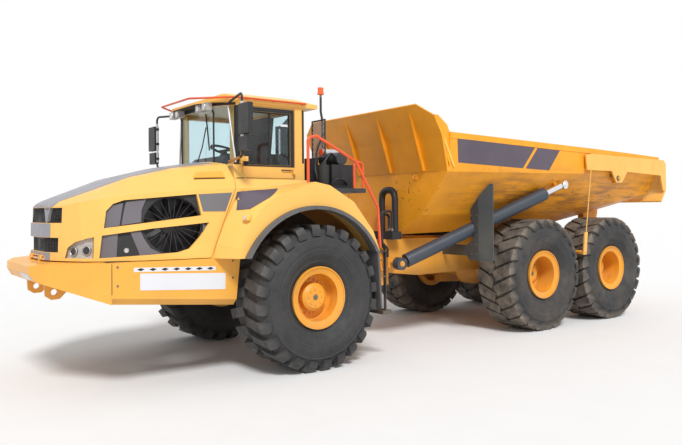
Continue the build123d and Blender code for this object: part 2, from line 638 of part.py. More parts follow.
# ---------------------------------------------------------------- trim of the tractor
def work_lamps():
    return [block(930, 1010, y - 70, y + 70, GLASS_TOP - 95, GLASS_TOP) for y in (-520, -330, 330, 520)]


def roof_rail():
    z = ROOF_TOP - 20
    loop = rail([(-300, 905, z - 60), (760, 905, z - 60), (1180, 450, z - 60), (1180, -450, z - 60),
                 (760, -905, z - 60), (-300, -905, z - 60)], 70, 13)
    feet = [block(x - 14, x + 14, s * 880, s * 905, z - 75, z - 50) for x in (-250, 200,
            600) for s in (1, -1)]
    return loop.fuse(*feet)


def handrails():
    deck_hoop = rail([(40, 1450, COWL_TOP + 105), (40, 1450, 2900), (-90, 1450, 2930), (-680, 1500, 2620),
                      (-985, 1575, 2020), (-1020, 1575, 1480)], 60, 19)
    step_hoop = rail([(-860, 1225, DECK_Z), (-860, 1225, 2640), (-1010, 1225, 2640), (-1010, 1225,
                      DECK_Z)], 60, 17)
    return [deck_hoop, step_hoop]


def cab_step():
    """Step hung on two straps from the back of the left fender."""
    y0, y1 = FENDER_Y - 260, FENDER_Y + 40
    x = ARCH_X - 1115
    plate = block(x, ARCH_X - 980, y0, y1, SKIRT_TOP - 15, SKIRT_TOP)
    straps = [block(x, x + 12, y, y + 50, 650, SKIRT_TOP - 15) for y in (y0, y1 - 50)]
    tread = block(x - 90, x + 60, y0, y1, 600, 650) - block(x - 60, x + 30, y0 + 30, y1 - 30, 600, 660)
    return plate.fuse(*straps, tread)


def mirrors(cab, top):
    """Arms from the cab's roof and sill, with one large and one small head a side, and their glasses."""
    arms = []
    glasses = []
    for s in (1, -1):
        y = 1330 * s
        arm = rail([(760, (CAB_Y - 150) * s, GLASS_TOP), (900, y, GLASS_TOP + 30), (900, y, SILL_Z + 60),
                    (840, (CAB_Y + 10) * s, SILL_Z + 20)], 60, 15)
        heads = []
        for width, low, high in ((230, SILL_Z + 320, SILL_Z + 680), (200, SILL_Z + 120, SILL_Z + 290)):
            heads.append(block(880, 945, y - 10 * s, y + width * s, low, high))
            glasses.append(block(874, 880, y + 10 * s, y + (width - 20) * s, low + 20, high - 20))
        arms.append((arm - cab - top).fuse(*heads))
    return arms, glasses


def engine():
    return block(500, 2250, -360, 360, FRAME_TOP, 1980)


def cooling_fan():
    x, z, r = FAN
    pack = block(x - 400, x + 400, 360 + FIT, 900, 1480, 2120)
    shroud = cross_bar(x, z, r + 30, 900, 1010) - cross_bar(x, z, r, 930, 1020)
    hub = cross_bar(x, z, 90, 930, 1000)
    blade = Pos(x, 965, z) * Pos(0, 0, r / 2 + 20) * Rot(0, 0, 35) * Box(60, 8, r - 60)
    blades = [Pos(x, 0, z) * Rot(0, 40 * i, 0) * Pos(-x, 0, -z) * blade for i in range(9)]
    return pack.fuse(shroud, hub, *blades)


def liner(outline, depth, thick):
    """Sheet that follows the hood at some depth, cut to a side outline."""
    sheet = hood_solid(depth, depth, HOOD_LOW + 5) - hood_solid(depth + thick, depth + thick, HOOD_LOW + 4)
    return sheet & outline


def vent_panels():
    """Dark panels behind the hood's side openings, open where the fan breathes."""
    x, z, r = FAN
    outline = prism_xz([(2485, 1470), (2485, 1900), (2345, 2100), (1310, 2205), (1310, 1470)], -1400, 1400)
    sheet = liner(outline, PLATE + 0.8, 12)
    sheet -= block(1200, 2700, -800, 800, 1400, 2700)
    return sheet - cross_bar(x, z, r, -1400, 1400)


def grille():
    """Dark slatted panel behind the nose openings."""
    sheet = liner(block(2650, 3000, -610, 610, 1537, 2060), PLATE + FIT, 12)
    for low, high, half in GRILLE_ROWS:
        sheet -= block(2600, 3000, -half + 20, -60, low + 20, high - 20)
        sheet -= block(2600, 3000, 60, half - 20, low + 20, high - 20)
    return sheet


def headlamps():
    """Lens in each lamp opening, flush with the hood."""
    outline = prism_xz(LAMP_OPENING, -1400, 1400)
    lens = liner(outline, 8, 10)
    return lens


# ---------------------------------------------------------------- rear frame
def rear_frame():
    front, tail = -1800, DUMP_X - 180
    inner = REAR_RAIL_Y - REAR_RAIL_W
    profile = [(front, REAR_TOP), (front, 1440), (front - 80, 1060), (front - 250, 1010), (-2640, 940),
               (AXLE_2_X + 331, 960), (AXLE_2_X + 231, 1062), (tail, 1075), (tail, REAR_TOP - 80),
                (-2600, REAR_TOP)]
    plates = both_sides(prism_xz(profile, inner, REAR_RAIL_Y))
    head = block(HITCH_TUBE_END - 60, HITCH_FACE_X - 60 - MOVE, -inner, inner, ROLL_Z - 260, ROLL_Z + 300)
    head -= bar((HITCH_FACE_X + 10, 0, ROLL_Z), (HITCH_TUBE_END - 5, 0, ROLL_Z), ROLL_R + FIT)
    cross = [block(x, x + 160, -inner, inner, 1100, 1430) for x in (-3000, -4160, -5500, tail + 160)]
    fixed = []
    for s in (1, -1):
        fixed += [dump_ear(s), hoist_foot(s), wire_foot(s)]
    return plates[0].fuse(plates[1], head, *cross, *fixed)


def dump_ear(s):
    """Bearing plate and pin that the load body tips on."""
    x, top = DUMP_X, DUMP_Z + 90
    ear = [(x - 120, 1100), (x + 150, 1100), (x + 150, top), (x - 80, top), (x - 120, DUMP_Z)]
    plate = prism_xz(ear, s * (REAR_RAIL_Y - 5), s * (REAR_RAIL_Y + 40))
    return plate.fuse(cross_bar(DUMP_X, DUMP_Z, DUMP_PIN_R, s * (REAR_RAIL_Y - 5), s * (REAR_RAIL_Y + 190)))


def hoist_foot(s):
    """Bracket with the ball that a hoist barrel swings on."""
    x, y, z = HOIST_LOW
    outline = [(x - 90, z - 90), (x + 90, z - 60), (x + 90, z + 90), (x - 90, z + 100)]
    plate = prism_xz(outline, s * (REAR_RAIL_Y - 5), s * (y - 160))
    boss = cross_bar(x, z, 60, s * REAR_RAIL_Y, s * (y - 90))
    pin = cross_bar(x, z, HOIST_PIN_R, s * (REAR_RAIL_Y - 5), s * (y + 75))
    return plate.fuse(boss, pin, Pos(x, s * y, z) * Sphere(HOIST_BALL_R))


def wire_foot(s):
    """Arm over the tyres with the stud of a tailgate stay."""
    x, y, z = WIRE_FOOT
    arm = cross_bar(x, z, 32, s * (REAR_RAIL_Y - 5), s * (y - 22))
    return arm.fuse(cross_bar(x, z, WIRE_PIN_R, s * (y - 30), s * (y + 20)))


def lamp_posts():
    """Bent posts from the rails' tails, outside the body's lugs, with a shelf for the lamps."""
    tail = DUMP_X - 180
    y = REAR_RAIL_Y + 200
    arm = block(tail - 20, tail + 60, REAR_RAIL_Y, y + 50, 1090, 1170)
    post = block(tail - 20, tail + 60, y, y + 50, 1090, LAMP_SHELF_Z + 50)
    shelf = block(tail - 40, tail + 110, y, y + 490, LAMP_SHELF_Z, LAMP_SHELF_Z + 50)
    return both_sides(arm.fuse(post, shelf))


def tail_lamps():
    """Two lamps a side on the back of the shelf."""
    x = DUMP_X - 180 - 40
    y = REAR_RAIL_Y + 200
    z = LAMP_SHELF_Z - 30
    return both_sides([block(x - 45, x, y + a, y + a + 170, z, z + 110) for a in (100, 300)])


def hoses():
    """Junction box on the left rail with a duct arch and two hose loops to the hoist foot."""
    x0, x1, y0, y1, top = JUNCTION
    box = block(x0, x1, y0, y1, REAR_TOP, top)
    x = x0 + 55
    duct = rail([(x, y0 + 80, top), (x, y0 + 80, top + 640), (x, y1 - 80, top + 640), (x, y1 - 80,
                 top)], 150, 48)
    x = x1 - 28
    front = HOIST_LOW[0] + 175
    foot_x = HOIST_LOW[0] + 70
    foot_z = HOIST_LOW[2] + 92.5
    loops = []
    for y, rise in ((y1 - 110, 260), (y1 - 40, 310)):
        route = [(x, y, top), (x, y, top + rise), (front, y, top + rise), (front, y, foot_z + 220),
                 (foot_x, y, foot_z + 130), (foot_x, y, foot_z)]
        loops.append(rail(route, 50, 19))
    return box.fuse(duct, *loops)


def mudguards():
    """Folded steel plates ahead of the middle wheels, on brackets from the frame."""
    x = AXLE_2_X + TYRE_R + 356
    plan = [(x, REAR_RAIL_Y), (x, 1345), (x - 90, 1560), (x - 110, 1560), (x - 20, 1352), (x - 20,
            REAR_RAIL_Y)]
    face = [(REAR_RAIL_Y, 1250), (REAR_RAIL_Y, 1420), (1100, 1420), (1240, 1500), (1180, 1800), (1180, 1975),
            (1510, 2370), (1560, 2370), (1560, 1180), (1150, 1180), (1100, 1250)]
    guard = prism_xy(plan, 1100, 2500) & prism_yz(face, x - 200, x + 100)
    a, b, way, length = hoist_axis()
    for shift in (0, 50, 100):
        move = Vector(0, -shift, 0.8 * shift)
        guard -= bar(a + way * 900 + move, a + way * 1900 + move, HOIST_R + 20)
    return both_sides(guard)


def bogie():
    """Two axles, the rocking beams that join them and the arms forward to the frame."""
    parts = []
    mid_x = (AXLE_2_X + AXLE_3_X) / 2
    front, rear = AXLE_2_X + 130, AXLE_3_X - 130
    for s in (1, -1):
        beam = prism_xz([(front, BEAM_TOP), (front, BEAM_TOP - 120), (mid_x, BEAM_TOP - 190),
                         (rear, BEAM_TOP - 120), (rear, BEAM_TOP), (mid_x - 520, BEAM_TOP),
                         (mid_x - 260, 1090), (mid_x + 260, 1090), (mid_x + 520, BEAM_TOP)], s * 640, s * 800)
        foot = block(mid_x - 170, mid_x + 170, s * REAR_RAIL_Y, s * 640, 1010, 1090)
        parts.append(beam.fuse(foot))
    for x in (AXLE_2_X, AXLE_3_X):
        beam = cross_bar(x, HUB_Z, 140, -930, 930)
        hubs = [cross_bar(x, HUB_Z, 200, 830 * s, 985 * s) for s in (1, -1)]
        spindles = [cross_bar(x, HUB_Z, SPINDLE_R, 985 * s, (WHEEL_Y + SPINDLE_OUT) * s) for s in (1, -1)]
        diff = differential(x, 270)
        pads = [block(x - 110, x + 110, s * 640, s * 800, BEAM_TOP, HUB_Z - 80) for s in (1, -1)]
        parts.append(beam.fuse(diff, *hubs, *spindles, *pads))
    return parts[0].fuse(*parts[1:])


# ---------------------------------------------------------------- dump body
def body_outline(row, inset, lift):
    x, rail_y, rail_z, chine_y, chine_z, belly_y, belly_z, floor_y, floor_z = row
    half = [(floor_y - inset * 0.4, floor_z + inset), (belly_y - inset * 0.8, belly_z + inset * 0.6),
            (chine_y - inset, chine_z + inset * 0.3), (rail_y - inset, rail_z + lift)]
    return Plane.YZ.offset(x) * make_face(Polyline(*mirrored_profile(half), close=True))


def headboard():
    """Front wall, straight to the chine and then leaning forward to the spill guard."""
    front = BODY_FRONT
    side = [(front - 5, 1600), (front + 35, 1600), (front + 25, 2540), (-2120, 3010), (-1900,
            3500), (-1935, 3520),
            (-2160, 3030), (front - 10, 2550)]
    across = mirrored_profile([(560, 1600), (1060, 1900), (1610, 2530), (1655, 3100), (1620, 3320),
                               (1300, 3520)])
    wall = prism_xz(side, -1660, 1660) & prism_yz(across, front - 120, -1800)
    rib = [(front + 20, 2560), (-2125, 3015), (-1925, 3470), (-1945, 3370), (-2040, 3050), (front + 75, 2560)]
    ribs = [prism_xz(rib, y - 9, y + 9) for y in (-1150, -400, 400, 1150)]
    return wall.fuse(*ribs)


def top_rail(s):
    """Square rail along one side of the body."""
    faces = []
    for row in BODY_SECTIONS:
        x, y, z = row[:3]
        outline = [(s * (y - 75), z - 90), (s * y, z - 90), (s * y, z), (s * (y - 75), z)]
        faces.append(Plane.YZ.offset(x) * make_face(Polyline(*outline, close=True)))
    return loft(faces, ruled=True)


def wing(s):
    """Corner plate that joins the spill guard to the side rail."""
    x = BODY_FRONT
    outline = [(x - 15, 2600), (-2125, 3010), (-1985, 3330), (-2060, 3330), (-2240, 3200), (x - 10, 3100)]
    return prism_xz(outline, s * 1600, s * 1630)


def body_lugs(s):
    """Tipping lug, hoist bracket and tailgate pin of one side."""
    x, z = DUMP_X, DUMP_Z - 90
    lug = prism_xz([(x - 90, z), (x + 90, z), (x + 260, 1990), (x - 260, 1990)],
                   s * (REAR_RAIL_Y + 50), s * (REAR_RAIL_Y + 180))
    x, y, z = HOIST_TOP
    ear = prism_xz([(x - 80, z - 80), (x + 80, z - 80), (x + 190, z + 190), (x - 190, z + 190)],
                   s * (y - 130), s * (y - 85))
    pin = cross_bar(GATE_X, GATE_Z, GATE_PIN_R, s * 1600, s * 1715)
    pad = cross_bar(GATE_X, GATE_Z, 95, s * 1590, s * 1668)
    return [lug, ear, pin.fuse(pad)]


def dump_body():
    outer = loft([body_outline(row, 0, 0) for row in BODY_SECTIONS], ruled=True)
    cavity = loft([body_outline(row, BODY_WALL, 60) for row in BODY_SECTIONS], ruled=True)
    shell = (outer - cavity).fuse(headboard(), top_rail(1), top_rail(-1), wing(1), wing(-1))
    lugs = [lug - cavity for lug in body_lugs(1) + body_lugs(-1)]
    shell = shell.fuse(*lugs)
    for s in (1, -1):
        shell -= cross_bar(DUMP_X, DUMP_Z, DUMP_PIN_R + FIT, s * 500, s * 900)
    return shell


def tailgate():
    """Arms outside the body with the gate plate across the tail."""
    x = TAIL_X
    inside = BODY_SECTIONS[-1][1] + 1
    outside = inside + PLATE
    arm = [(-5560, 2640), (-5520, 2900), (-5700, 2925), (x + 83, 2900), (x, 2830), (x, 2330), (x + 103, 2300),
           (x + 203, 2600), (-6800, 2640), (GATE_X - 90, GATE_Z - 80), (GATE_X + 90, GATE_Z - 80),
            (-6300, 2640),
           (-5660, 2640)]
    arms = []
    for s in (1, -1):
        plate = prism_xz(arm, s * inside, s * outside)
        bore = cross_bar(GATE_X, GATE_Z, GATE_PIN_R + FIT, s * (inside - 76), s * (outside + 94))
        arms.append(plate - bore)
    sheet = [(x + 188, 2110), (x + 178, 2085), (x, 2320), (x, 2700), (x + 28, 2700), (x + 28, 2340)]
    return arms[0].fuse(arms[1], prism_xz(sheet, -outside, outside))


def hoist_axis():
    a, b = Vector(*HOIST_LOW), Vector(*HOIST_TOP)
    return a, b, (b - a).normalized(), (b - a).length


def hoist_barrel(side):
    a, b, way, length = hoist_axis()
    tube = bar(a + way * 110, a + way * HOIST_BARREL, HOIST_R)
    neck = bar(a + way * 40, a + way * 140, 56)
    eye = Pos(*a) * Rot(90, 0, 0) * Cylinder(95, 120)
    part = tube.fuse(neck, eye)
    part -= bar(a + way * 190, a + way * (HOIST_BARREL + 100), HOIST_ROD_R + FIT)
    part -= Pos(*a) * Sphere(HOIST_BALL_R + FIT)
    return part if side > 0 else mirror(part, about=Plane.XZ)


def hoist_rod(side):
    a, b, way, length = hoist_axis()
    stem = bar(a + way * 200, b, HOIST_ROD_R)
    eye = Pos(*b) * Rot(90, 0, 0) * Cylinder(70, 110)
    pin = cross_bar(b.X, b.Z, HOIST_PIN_R, b.Y - 85 + HOIST_PIN_GAP, b.Y + 70)
    part = stem.fuse(eye, pin)
    return part if side > 0 else mirror(part, about=Plane.XZ)


def wires():
    """Stays that hold the tailgate's levers down, each with its tensioner."""
    x, y, z = WIRE_FOOT
    out = []
    for s in (1, -1):
        wire = bar((x - 45, s * y, z + 300), (x - 215, s * y, z + WIRE_LENGTH - 20), 8)
        body = prism_xz([(x - 38, z - 38), (x + 38, z - 38), (x - 5, z + 340), (x - 85, z + 340)],
                        s * (y - 12), s * (y + 12))
        body -= cross_bar(x, z, WIRE_PIN_R + FIT, s * (y - 60), s * (y + 60))
        out.append(wire.fuse(body))
    return out


def main():
    os.makedirs("parts", exist_ok=True)
    node("front_frame", front_frame().fuse(*both_sides(steer_foot())))
    node("hitch", hitch())
    node("front_axle", front_axle())
    tyres = {True: tyre(FRONT_TREAD), False: tyre(REAR_TREAD)}
    rims = {front: rim(front) for front in (True, False)}
    for name, x, front in WHEELS:
        for tag, side in (("left", 1), ("right", -1)):
            node(f"tyre_{name}_{tag}", on_wheel(tyres[front], x, side))
            node(f"rim_{name}_{tag}", on_wheel(rims[front], x, side))
    node("bumper", bumper().fuse(*tow_lugs(), *hood_hinge()))
    node("skirts", skirts())
    node("hood", hood())
    node("cowl", cowl())
    node("fenders", fenders())
    node("flares", flares())
    node("deck", deck())
    node("deck_boxes", deck_boxes())
    node("rear_screen", screen())
    node("exhaust", exhaust(), muffler())
    node("beacon", *beacon())
    shell, top = cab_shell(), roof()
    node("cab_shell", shell)
    node("cab_glass", cab_glass())
    node("cab_roof", top)
    node("cab_door", door())
    node("door_glass", door_glass())
    node("cab_interior", cab_interior())
    node("work_lamps", work_lamps())
    node("handrails", roof_rail(), handrails())
    node("cab_step", cab_step())
    arms, glasses = mirrors(shell, top)
    node("mirror_arms", arms)
    node("mirror_glass", glasses)
    node("engine", engine())
    node("cooling_fan", cooling_fan())
    node("vent_panels", vent_panels())
    node("grille", grille())
    node("headlamps", headlamps())
    node("rear_frame", rear_frame())
    node("mudguards", mudguards())
    node("bogie", bogie())
    node("lamp_posts", lamp_posts())
    node("tail_lamps", tail_lamps())
    node("hoses", hoses())
    node("dump_body", dump_body())
    node("tailgate", tailgate())
    for tag, side in (("left", 1), ("right", -1)):
        node(f"hoist_barrel_{tag}", hoist_barrel(side))
        node(f"hoist_rod_{tag}", hoist_rod(side))
    node("tailgate_wires", wires())
    barrel, rod = steer_barrel(), steer_rod()
    node("steer_barrel_left", barrel)
    node("steer_barrel_right", mirror(barrel, about=Plane.XZ))
    node("steer_rod_left", rod)
    node("steer_rod_right", mirror(rod, about=Plane.XZ))
    shift = Pos(-(NOSE_X + TAIL_X) / 2, 0, 0)
    for name, shape in NODES.items():
        export_step(shift * shape, f"parts/{name}.step")


if __name__ == "__main__":
    main()
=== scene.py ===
"""Finishes, fittings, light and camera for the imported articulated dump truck."""
import logging
import math
from dataclasses import dataclass
from enum import Enum
from typing import Iterable, Sequence

import bmesh
import bpy
from mathutils import Matrix, Vector
from mathutils.bvhtree import BVHTree

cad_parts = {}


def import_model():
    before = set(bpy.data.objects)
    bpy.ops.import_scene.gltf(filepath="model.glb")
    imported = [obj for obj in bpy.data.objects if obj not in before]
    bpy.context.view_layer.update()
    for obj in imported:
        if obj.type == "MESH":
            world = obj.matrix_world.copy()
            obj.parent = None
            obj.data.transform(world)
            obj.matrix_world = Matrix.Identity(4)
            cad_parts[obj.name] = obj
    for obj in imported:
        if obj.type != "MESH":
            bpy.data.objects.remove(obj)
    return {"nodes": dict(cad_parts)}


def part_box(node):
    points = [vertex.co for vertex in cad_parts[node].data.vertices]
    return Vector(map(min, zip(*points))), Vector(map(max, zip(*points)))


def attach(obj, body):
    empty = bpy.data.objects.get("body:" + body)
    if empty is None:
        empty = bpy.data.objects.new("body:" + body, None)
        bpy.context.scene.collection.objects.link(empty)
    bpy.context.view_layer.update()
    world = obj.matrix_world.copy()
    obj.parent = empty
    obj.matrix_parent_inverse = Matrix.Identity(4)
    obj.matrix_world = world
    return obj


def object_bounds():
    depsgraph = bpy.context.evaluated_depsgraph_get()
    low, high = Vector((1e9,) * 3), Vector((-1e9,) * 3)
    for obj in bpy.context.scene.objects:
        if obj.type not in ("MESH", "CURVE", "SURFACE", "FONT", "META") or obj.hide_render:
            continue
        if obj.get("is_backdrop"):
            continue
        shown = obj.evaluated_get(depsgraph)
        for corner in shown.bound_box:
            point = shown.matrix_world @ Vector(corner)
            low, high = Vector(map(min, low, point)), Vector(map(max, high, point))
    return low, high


LOG = logging.getLogger("dump_truck")
Pair = tuple[float, float]
Triple = tuple[float, float, float]
Colour = Triple
Points = tuple[Pair, ...]
Flat = Sequence[Pair]
Wire = tuple[bpy.types.Node, int | str, bpy.types.Node, int | str]
FAR = 9.0  # outside the object on every side
CELL = 0.08  # greatest step along a surface
SHARP = 0.5  # angle above which an edge is eased


class Look(Enum):
    """Plane that an outline is drawn in, named by the direction it is looked at along."""

    X = 0
    Y = 1
    Z = 2

    def spot(self, a: float, b: float, depth: float) -> Vector:
        """Point from the flat outline's two coordinates and its place on this axis."""
        values = [a, b]
        values.insert(self.value, depth)
        return Vector(values)


class Side(Enum):
    """Side of the machine, with its sign on the Y axis."""

    LEFT = 1
    RIGHT = -1

    @property
    def tag(self) -> str:
        """Lower-case name for node and piece names."""
        return self.name.lower()


# ------------------------------------------------------------------ finishes
class Graph:
    """Adds and links the nodes of one material."""

    def __init__(self, name: str) -> None:
        """Start a material with its shader and its object coordinates."""
        self.material = bpy.data.materials.new(name)
        self.material.use_nodes = True
        self.tree = self.material.node_tree
        self.shader = self.tree.nodes["Principled BSDF"]
        self.texture = self.node("ShaderNodeTexCoord")

    def node(self, kind: str, **values: object) -> bpy.types.Node:
        """Add a node of a kind.

        Args:
            kind: Blender's name of the node type.
            values: properties to set on it.

        Returns:
            The new node.
        """
        made = self.tree.nodes.new(kind)
        for key, value in values.items():
            setattr(made, key, value)
        return made

    def feed(self, socket: bpy.types.NodeSocket, value: object) -> None:
        """Link a socket to another, or set its constant."""
        if isinstance(value, bpy.types.NodeSocket):
            self.tree.links.new(value, socket)
        elif isinstance(value, tuple) and socket.type == "RGBA":
            socket.default_value = (*value, 1.0)
        else:
            socket.default_value = value

    def axis(self, index: int, source: str = "Object") -> bpy.types.NodeSocket:
        """One coordinate of the object's own frame, or of its own normal."""
        split = self.node("ShaderNodeSeparateXYZ")
        self.feed(split.inputs[0], self.texture.outputs[source])
        return split.outputs[index]

    def noise(self, scale: float, detail: float = 4.0, stretch: Triple = (1, 1, 1)) -> bpy.types.NodeSocket:
        """Noise over the object's own coordinates.

        Args:
            scale: size of the pattern, in repeats a metre.
            detail: octaves.
            stretch: factors on the three coordinates.

        Returns:
            The noise value's socket.
        """
        mapping = self.node("ShaderNodeMapping")
        mapping.inputs["Scale"].default_value = stretch
        self.feed(mapping.inputs["Vector"], self.texture.outputs["Object"])
        made = self.node("ShaderNodeTexNoise")
        made.inputs["Scale"].default_value = scale
        made.inputs["Detail"].default_value = detail
        made.inputs["Roughness"].default_value = 0.6
        self.feed(made.inputs["Vector"], mapping.outputs[0])
        return made.outputs["Fac"]

    def window(self, value: object, low: float, high: float, a: float = 0.0,
               b: float = 1.0) -> bpy.types.NodeSocket:
        """Map a range of a value onto a..b, clamped."""
        made = self.node("ShaderNodeMapRange", clamp=True)
        for index, item in enumerate((value, low, high, a, b)):
            self.feed(made.inputs[index], item)
        return made.outputs[0]

    def calc(self, operation: str, a: object, b: object = 0.0) -> bpy.types.NodeSocket:
        """One operation on two values."""
        made = self.node("ShaderNodeMath", operation=operation)
        self.feed(made.inputs[0], a)
        self.feed(made.inputs[1], b)
        return made.outputs[0]

    def times(self, first: object, *others: object) -> bpy.types.NodeSocket:
        """Product of several values."""
        for other in others:
            first = self.calc("MULTIPLY", first, other)
        return first

    def blend(self, factor: object, base: object, other: object) -> bpy.types.NodeSocket:
        """Mix two colours."""
        made = self.node("ShaderNodeMix", data_type="RGBA")
        self.feed(made.inputs[0], factor)
        self.feed(made.inputs[6], base)
        self.feed(made.inputs[7], other)
        return made.outputs[2]

    def relief(self, height: object, strength: float, distance: float = 0.002) -> None:
        """Bump the shader by a height."""
        made = self.node("ShaderNodeBump")
        made.inputs["Strength"].default_value = strength
        made.inputs["Distance"].default_value = distance
        self.feed(made.inputs["Height"], height)
        self.feed(self.shader.inputs["Normal"], made.outputs[0])

    def put(self, name: str, value: object) -> None:
        """Set or link one of the shader's own sockets."""
        self.feed(self.shader.inputs[name], value)


def shade(colour: Colour, factor: float) -> Colour:
    """Scale a colour's brightness."""
    return tuple(min(1.0, c * factor) for c in colour)


@dataclass(frozen=True)
class Finish:
    """Mottled surface with a fine grain, which the other finishes build on."""

    name: str
    base: Colour
    roughness: float = 0.5
    metallic: float = 0.0
    mottle: float = 0.12
    grain: float = 60.0
    relief: float = 0.15

    def colour(self, graph: Graph) -> bpy.types.NodeSocket:
        """Base colour with its slow variation."""
        tone = graph.window(graph.noise(1.7), 0.3, 0.7)
        return graph.blend(tone, shade(self.base, 1 - self.mottle), shade(self.base, 1 + self.mottle))

    def dress(self, graph: Graph, colour: bpy.types.NodeSocket) -> bpy.types.NodeSocket:
        """Add the wear of this kind of surface to its colour."""
        return colour

    def build(self) -> bpy.types.Material:
        """Make the material.

        Returns:
            The finished material.
        """
        graph = Graph(self.name)
        graph.put("Base Color", self.dress(graph, self.colour(graph)))
        graph.put("Metallic", self.metallic)
        smooth, dull = self.roughness * 0.8, min(1.0, self.roughness * 1.25)
        graph.put("Roughness", graph.window(graph.noise(5.0, 6.0), 0.3, 0.7, smooth, dull))
        graph.relief(graph.noise(self.grain, 6.0), self.relief)
        return graph.material


@dataclass(frozen=True)
class Paint(Finish):
    """Painted steel with dust below, chips and rust."""

    rust: float = 0.3
    dust: float = 0.3
    dust_top: float = 1.4
    rust_colour: Colour = (0.16, 0.055, 0.02)
    dust_colour: Colour = (0.40, 0.29, 0.17)

    def dress(self, graph: Graph, colour: bpy.types.NodeSocket) -> bpy.types.NodeSocket:
        """Add streaks, chips and dust to the coat."""
        streak = graph.window(graph.noise(5.0, 8.0, (1.0, 1.0, 0.35)), 0.60, 0.82, 0.0, self.rust)
        colour = graph.blend(streak, colour, shade(self.base, 0.45))
        chips = graph.window(graph.noise(34.0, 5.0), 0.76 - 0.10 * self.rust, 0.78 - 0.10 * self.rust)
        spread = graph.window(graph.noise(1.3, 2.0), 0.50, 0.62, 0.0, min(1.0, 2 * self.rust))
        colour = graph.blend(graph.times(chips, spread), colour, self.rust_colour)
        low = graph.window(graph.axis(2), 0.2, self.dust_top, self.dust, 0.0)
        haze = graph.window(graph.noise(3.0, 8.0), 0.35, 0.65)
        return graph.blend(graph.times(low, haze), colour, self.dust_colour)


@dataclass(frozen=True)
class BodyPaint(Paint):
    """Paint of the load body: scraped and speckled along the belly, dirty inside."""

    belly: Triple = (1.75, 2.25, 2.75)
    grime: Colour = (0.17, 0.10, 0.055)
    scraped: Colour = (0.30, 0.115, 0.035)

    def dress(self, graph: Graph, colour: bpy.types.NodeSocket) -> bpy.types.NodeSocket:
        """Add the belly's scrapes, the speckles and the dirt of the load."""
        colour = super().dress(graph, colour)
        low, middle, high = self.belly
        z = graph.axis(2)
        band = graph.times(graph.window(z, low, middle - 0.15), graph.window(z, high, middle))
        rear = graph.window(graph.axis(0), 0.2, -1.2)
        scrape = graph.window(graph.noise(6.0, 10.0, (0.25, 1.0, 2.0)), 0.44, 0.60)
        colour = graph.blend(graph.times(scrape, band, rear, 0.75), colour, self.scraped)
        fleck = graph.window(graph.noise(17.0, 6.0, (0.55, 1.0, 1.0)), 0.62, 0.645)
        near = graph.window(graph.noise(1.9, 3.0), 0.42, 0.56)
        colour = graph.blend(graph.times(fleck, band, near), colour, self.rust_colour)
        up = graph.window(graph.axis(2, "Normal"), 0.15, 0.5, 0.0, 0.85)
        load = graph.window(z, 2.95, 2.85)
        return graph.blend(graph.times(up, load), colour, self.grime)


@dataclass(frozen=True)
class Tread(Finish):
    """Tyre rubber round one wheel centre: dusty tread, ringed sidewall."""

    centre: Pair = (0.0, 0.0)
    reach: float = 0.905
    tread: Colour = (0.20, 0.18, 0.16)

    def build(self) -> bpy.types.Material:
        """Make the material.

        Returns:
            The finished material.
        """
        graph = Graph(self.name)
        x = graph.calc("SUBTRACT", graph.axis(0), self.centre[0])
        z = graph.calc("SUBTRACT", graph.axis(2), self.centre[1])
        r = graph.calc("SQRT", graph.calc("ADD", graph.times(x, x), graph.times(z, z)))
        outer = graph.window(r, self.reach - 0.11, self.reach - 0.02)
        dust = graph.window(graph.noise(7.0, 8.0), 0.3, 0.66)
        colour = graph.blend(graph.times(outer, dust), self.colour(graph), self.tread)
        haze = graph.window(graph.noise(2.2, 9.0), 0.45, 0.75, 0.0, 0.35)
        colour = graph.blend(haze, colour, shade(self.tread, 0.9))
        graph.put("Base Color", colour)
        graph.put("Roughness", graph.window(graph.noise(9.0), 0.3, 0.7, 0.62, 0.9))
        rings = graph.calc("SINE", graph.times(r, 260.0))
        side = graph.times(graph.window(r, 0.50, 0.52), graph.window(r, 0.80, 0.76))
        graph.relief(graph.calc("ADD", graph.times(rings, side, 0.25), graph.noise(70.0, 8.0)), 0.5, 0.004)
        return graph.material


@dataclass(frozen=True)
class Banded(Finish):
    """Surface whose colour changes at given heights."""

    bands: tuple[tuple[float, Colour], ...] = ()

    def dress(self, graph: Graph, colour: bpy.types.NodeSocket) -> bpy.types.NodeSocket:
        """Switch to each band's colour above its height."""
        height = graph.axis(2)
        for level, other in self.bands:
            colour = graph.blend(graph.window(height, level - 0.002, level + 0.002), colour, other)
        return colour


@dataclass(frozen=True)
class Glass(Finish):
    """Thin window glass: tinted, with faint smears on its reflection."""

    def build(self) -> bpy.types.Material:
        """Make the material.

        Returns:
            The finished material.
        """
        graph = Graph(self.name)
        clear = graph.node("ShaderNodeBsdfTransparent")
        clear.inputs["Color"].default_value = (*self.base, 1.0)
        gloss = graph.node("ShaderNodeBsdfGlossy")
        graph.feed(gloss.inputs["Roughness"], graph.window(graph.noise(6.0, 8.0), 0.4, 0.7, 0.03, 0.16))
        edge = graph.node("ShaderNodeFresnel")
        edge.inputs["IOR"].default_value = 1.5
        smear = graph.window(graph.noise(3.0, 8.0), 0.45, 0.75, 0.0, 0.05)
        inner = graph.node("ShaderNodeNewGeometry").outputs["Backfacing"]
        outer = graph.calc("SUBTRACT", 1.0, inner)
        mixed = graph.node("ShaderNodeMixShader")
        graph.feed(mixed.inputs[0], graph.times(graph.calc("ADD", edge.outputs[0], smear), outer))
        graph.feed(mixed.inputs[1], clear.outputs[0])
        graph.feed(mixed.inputs[2], gloss.outputs[0])
        output = graph.tree.nodes["Material Output"]
        graph.feed(output.inputs["Surface"], mixed.outputs[0])
        graph.tree.nodes.remove(graph.shader)
        return graph.material


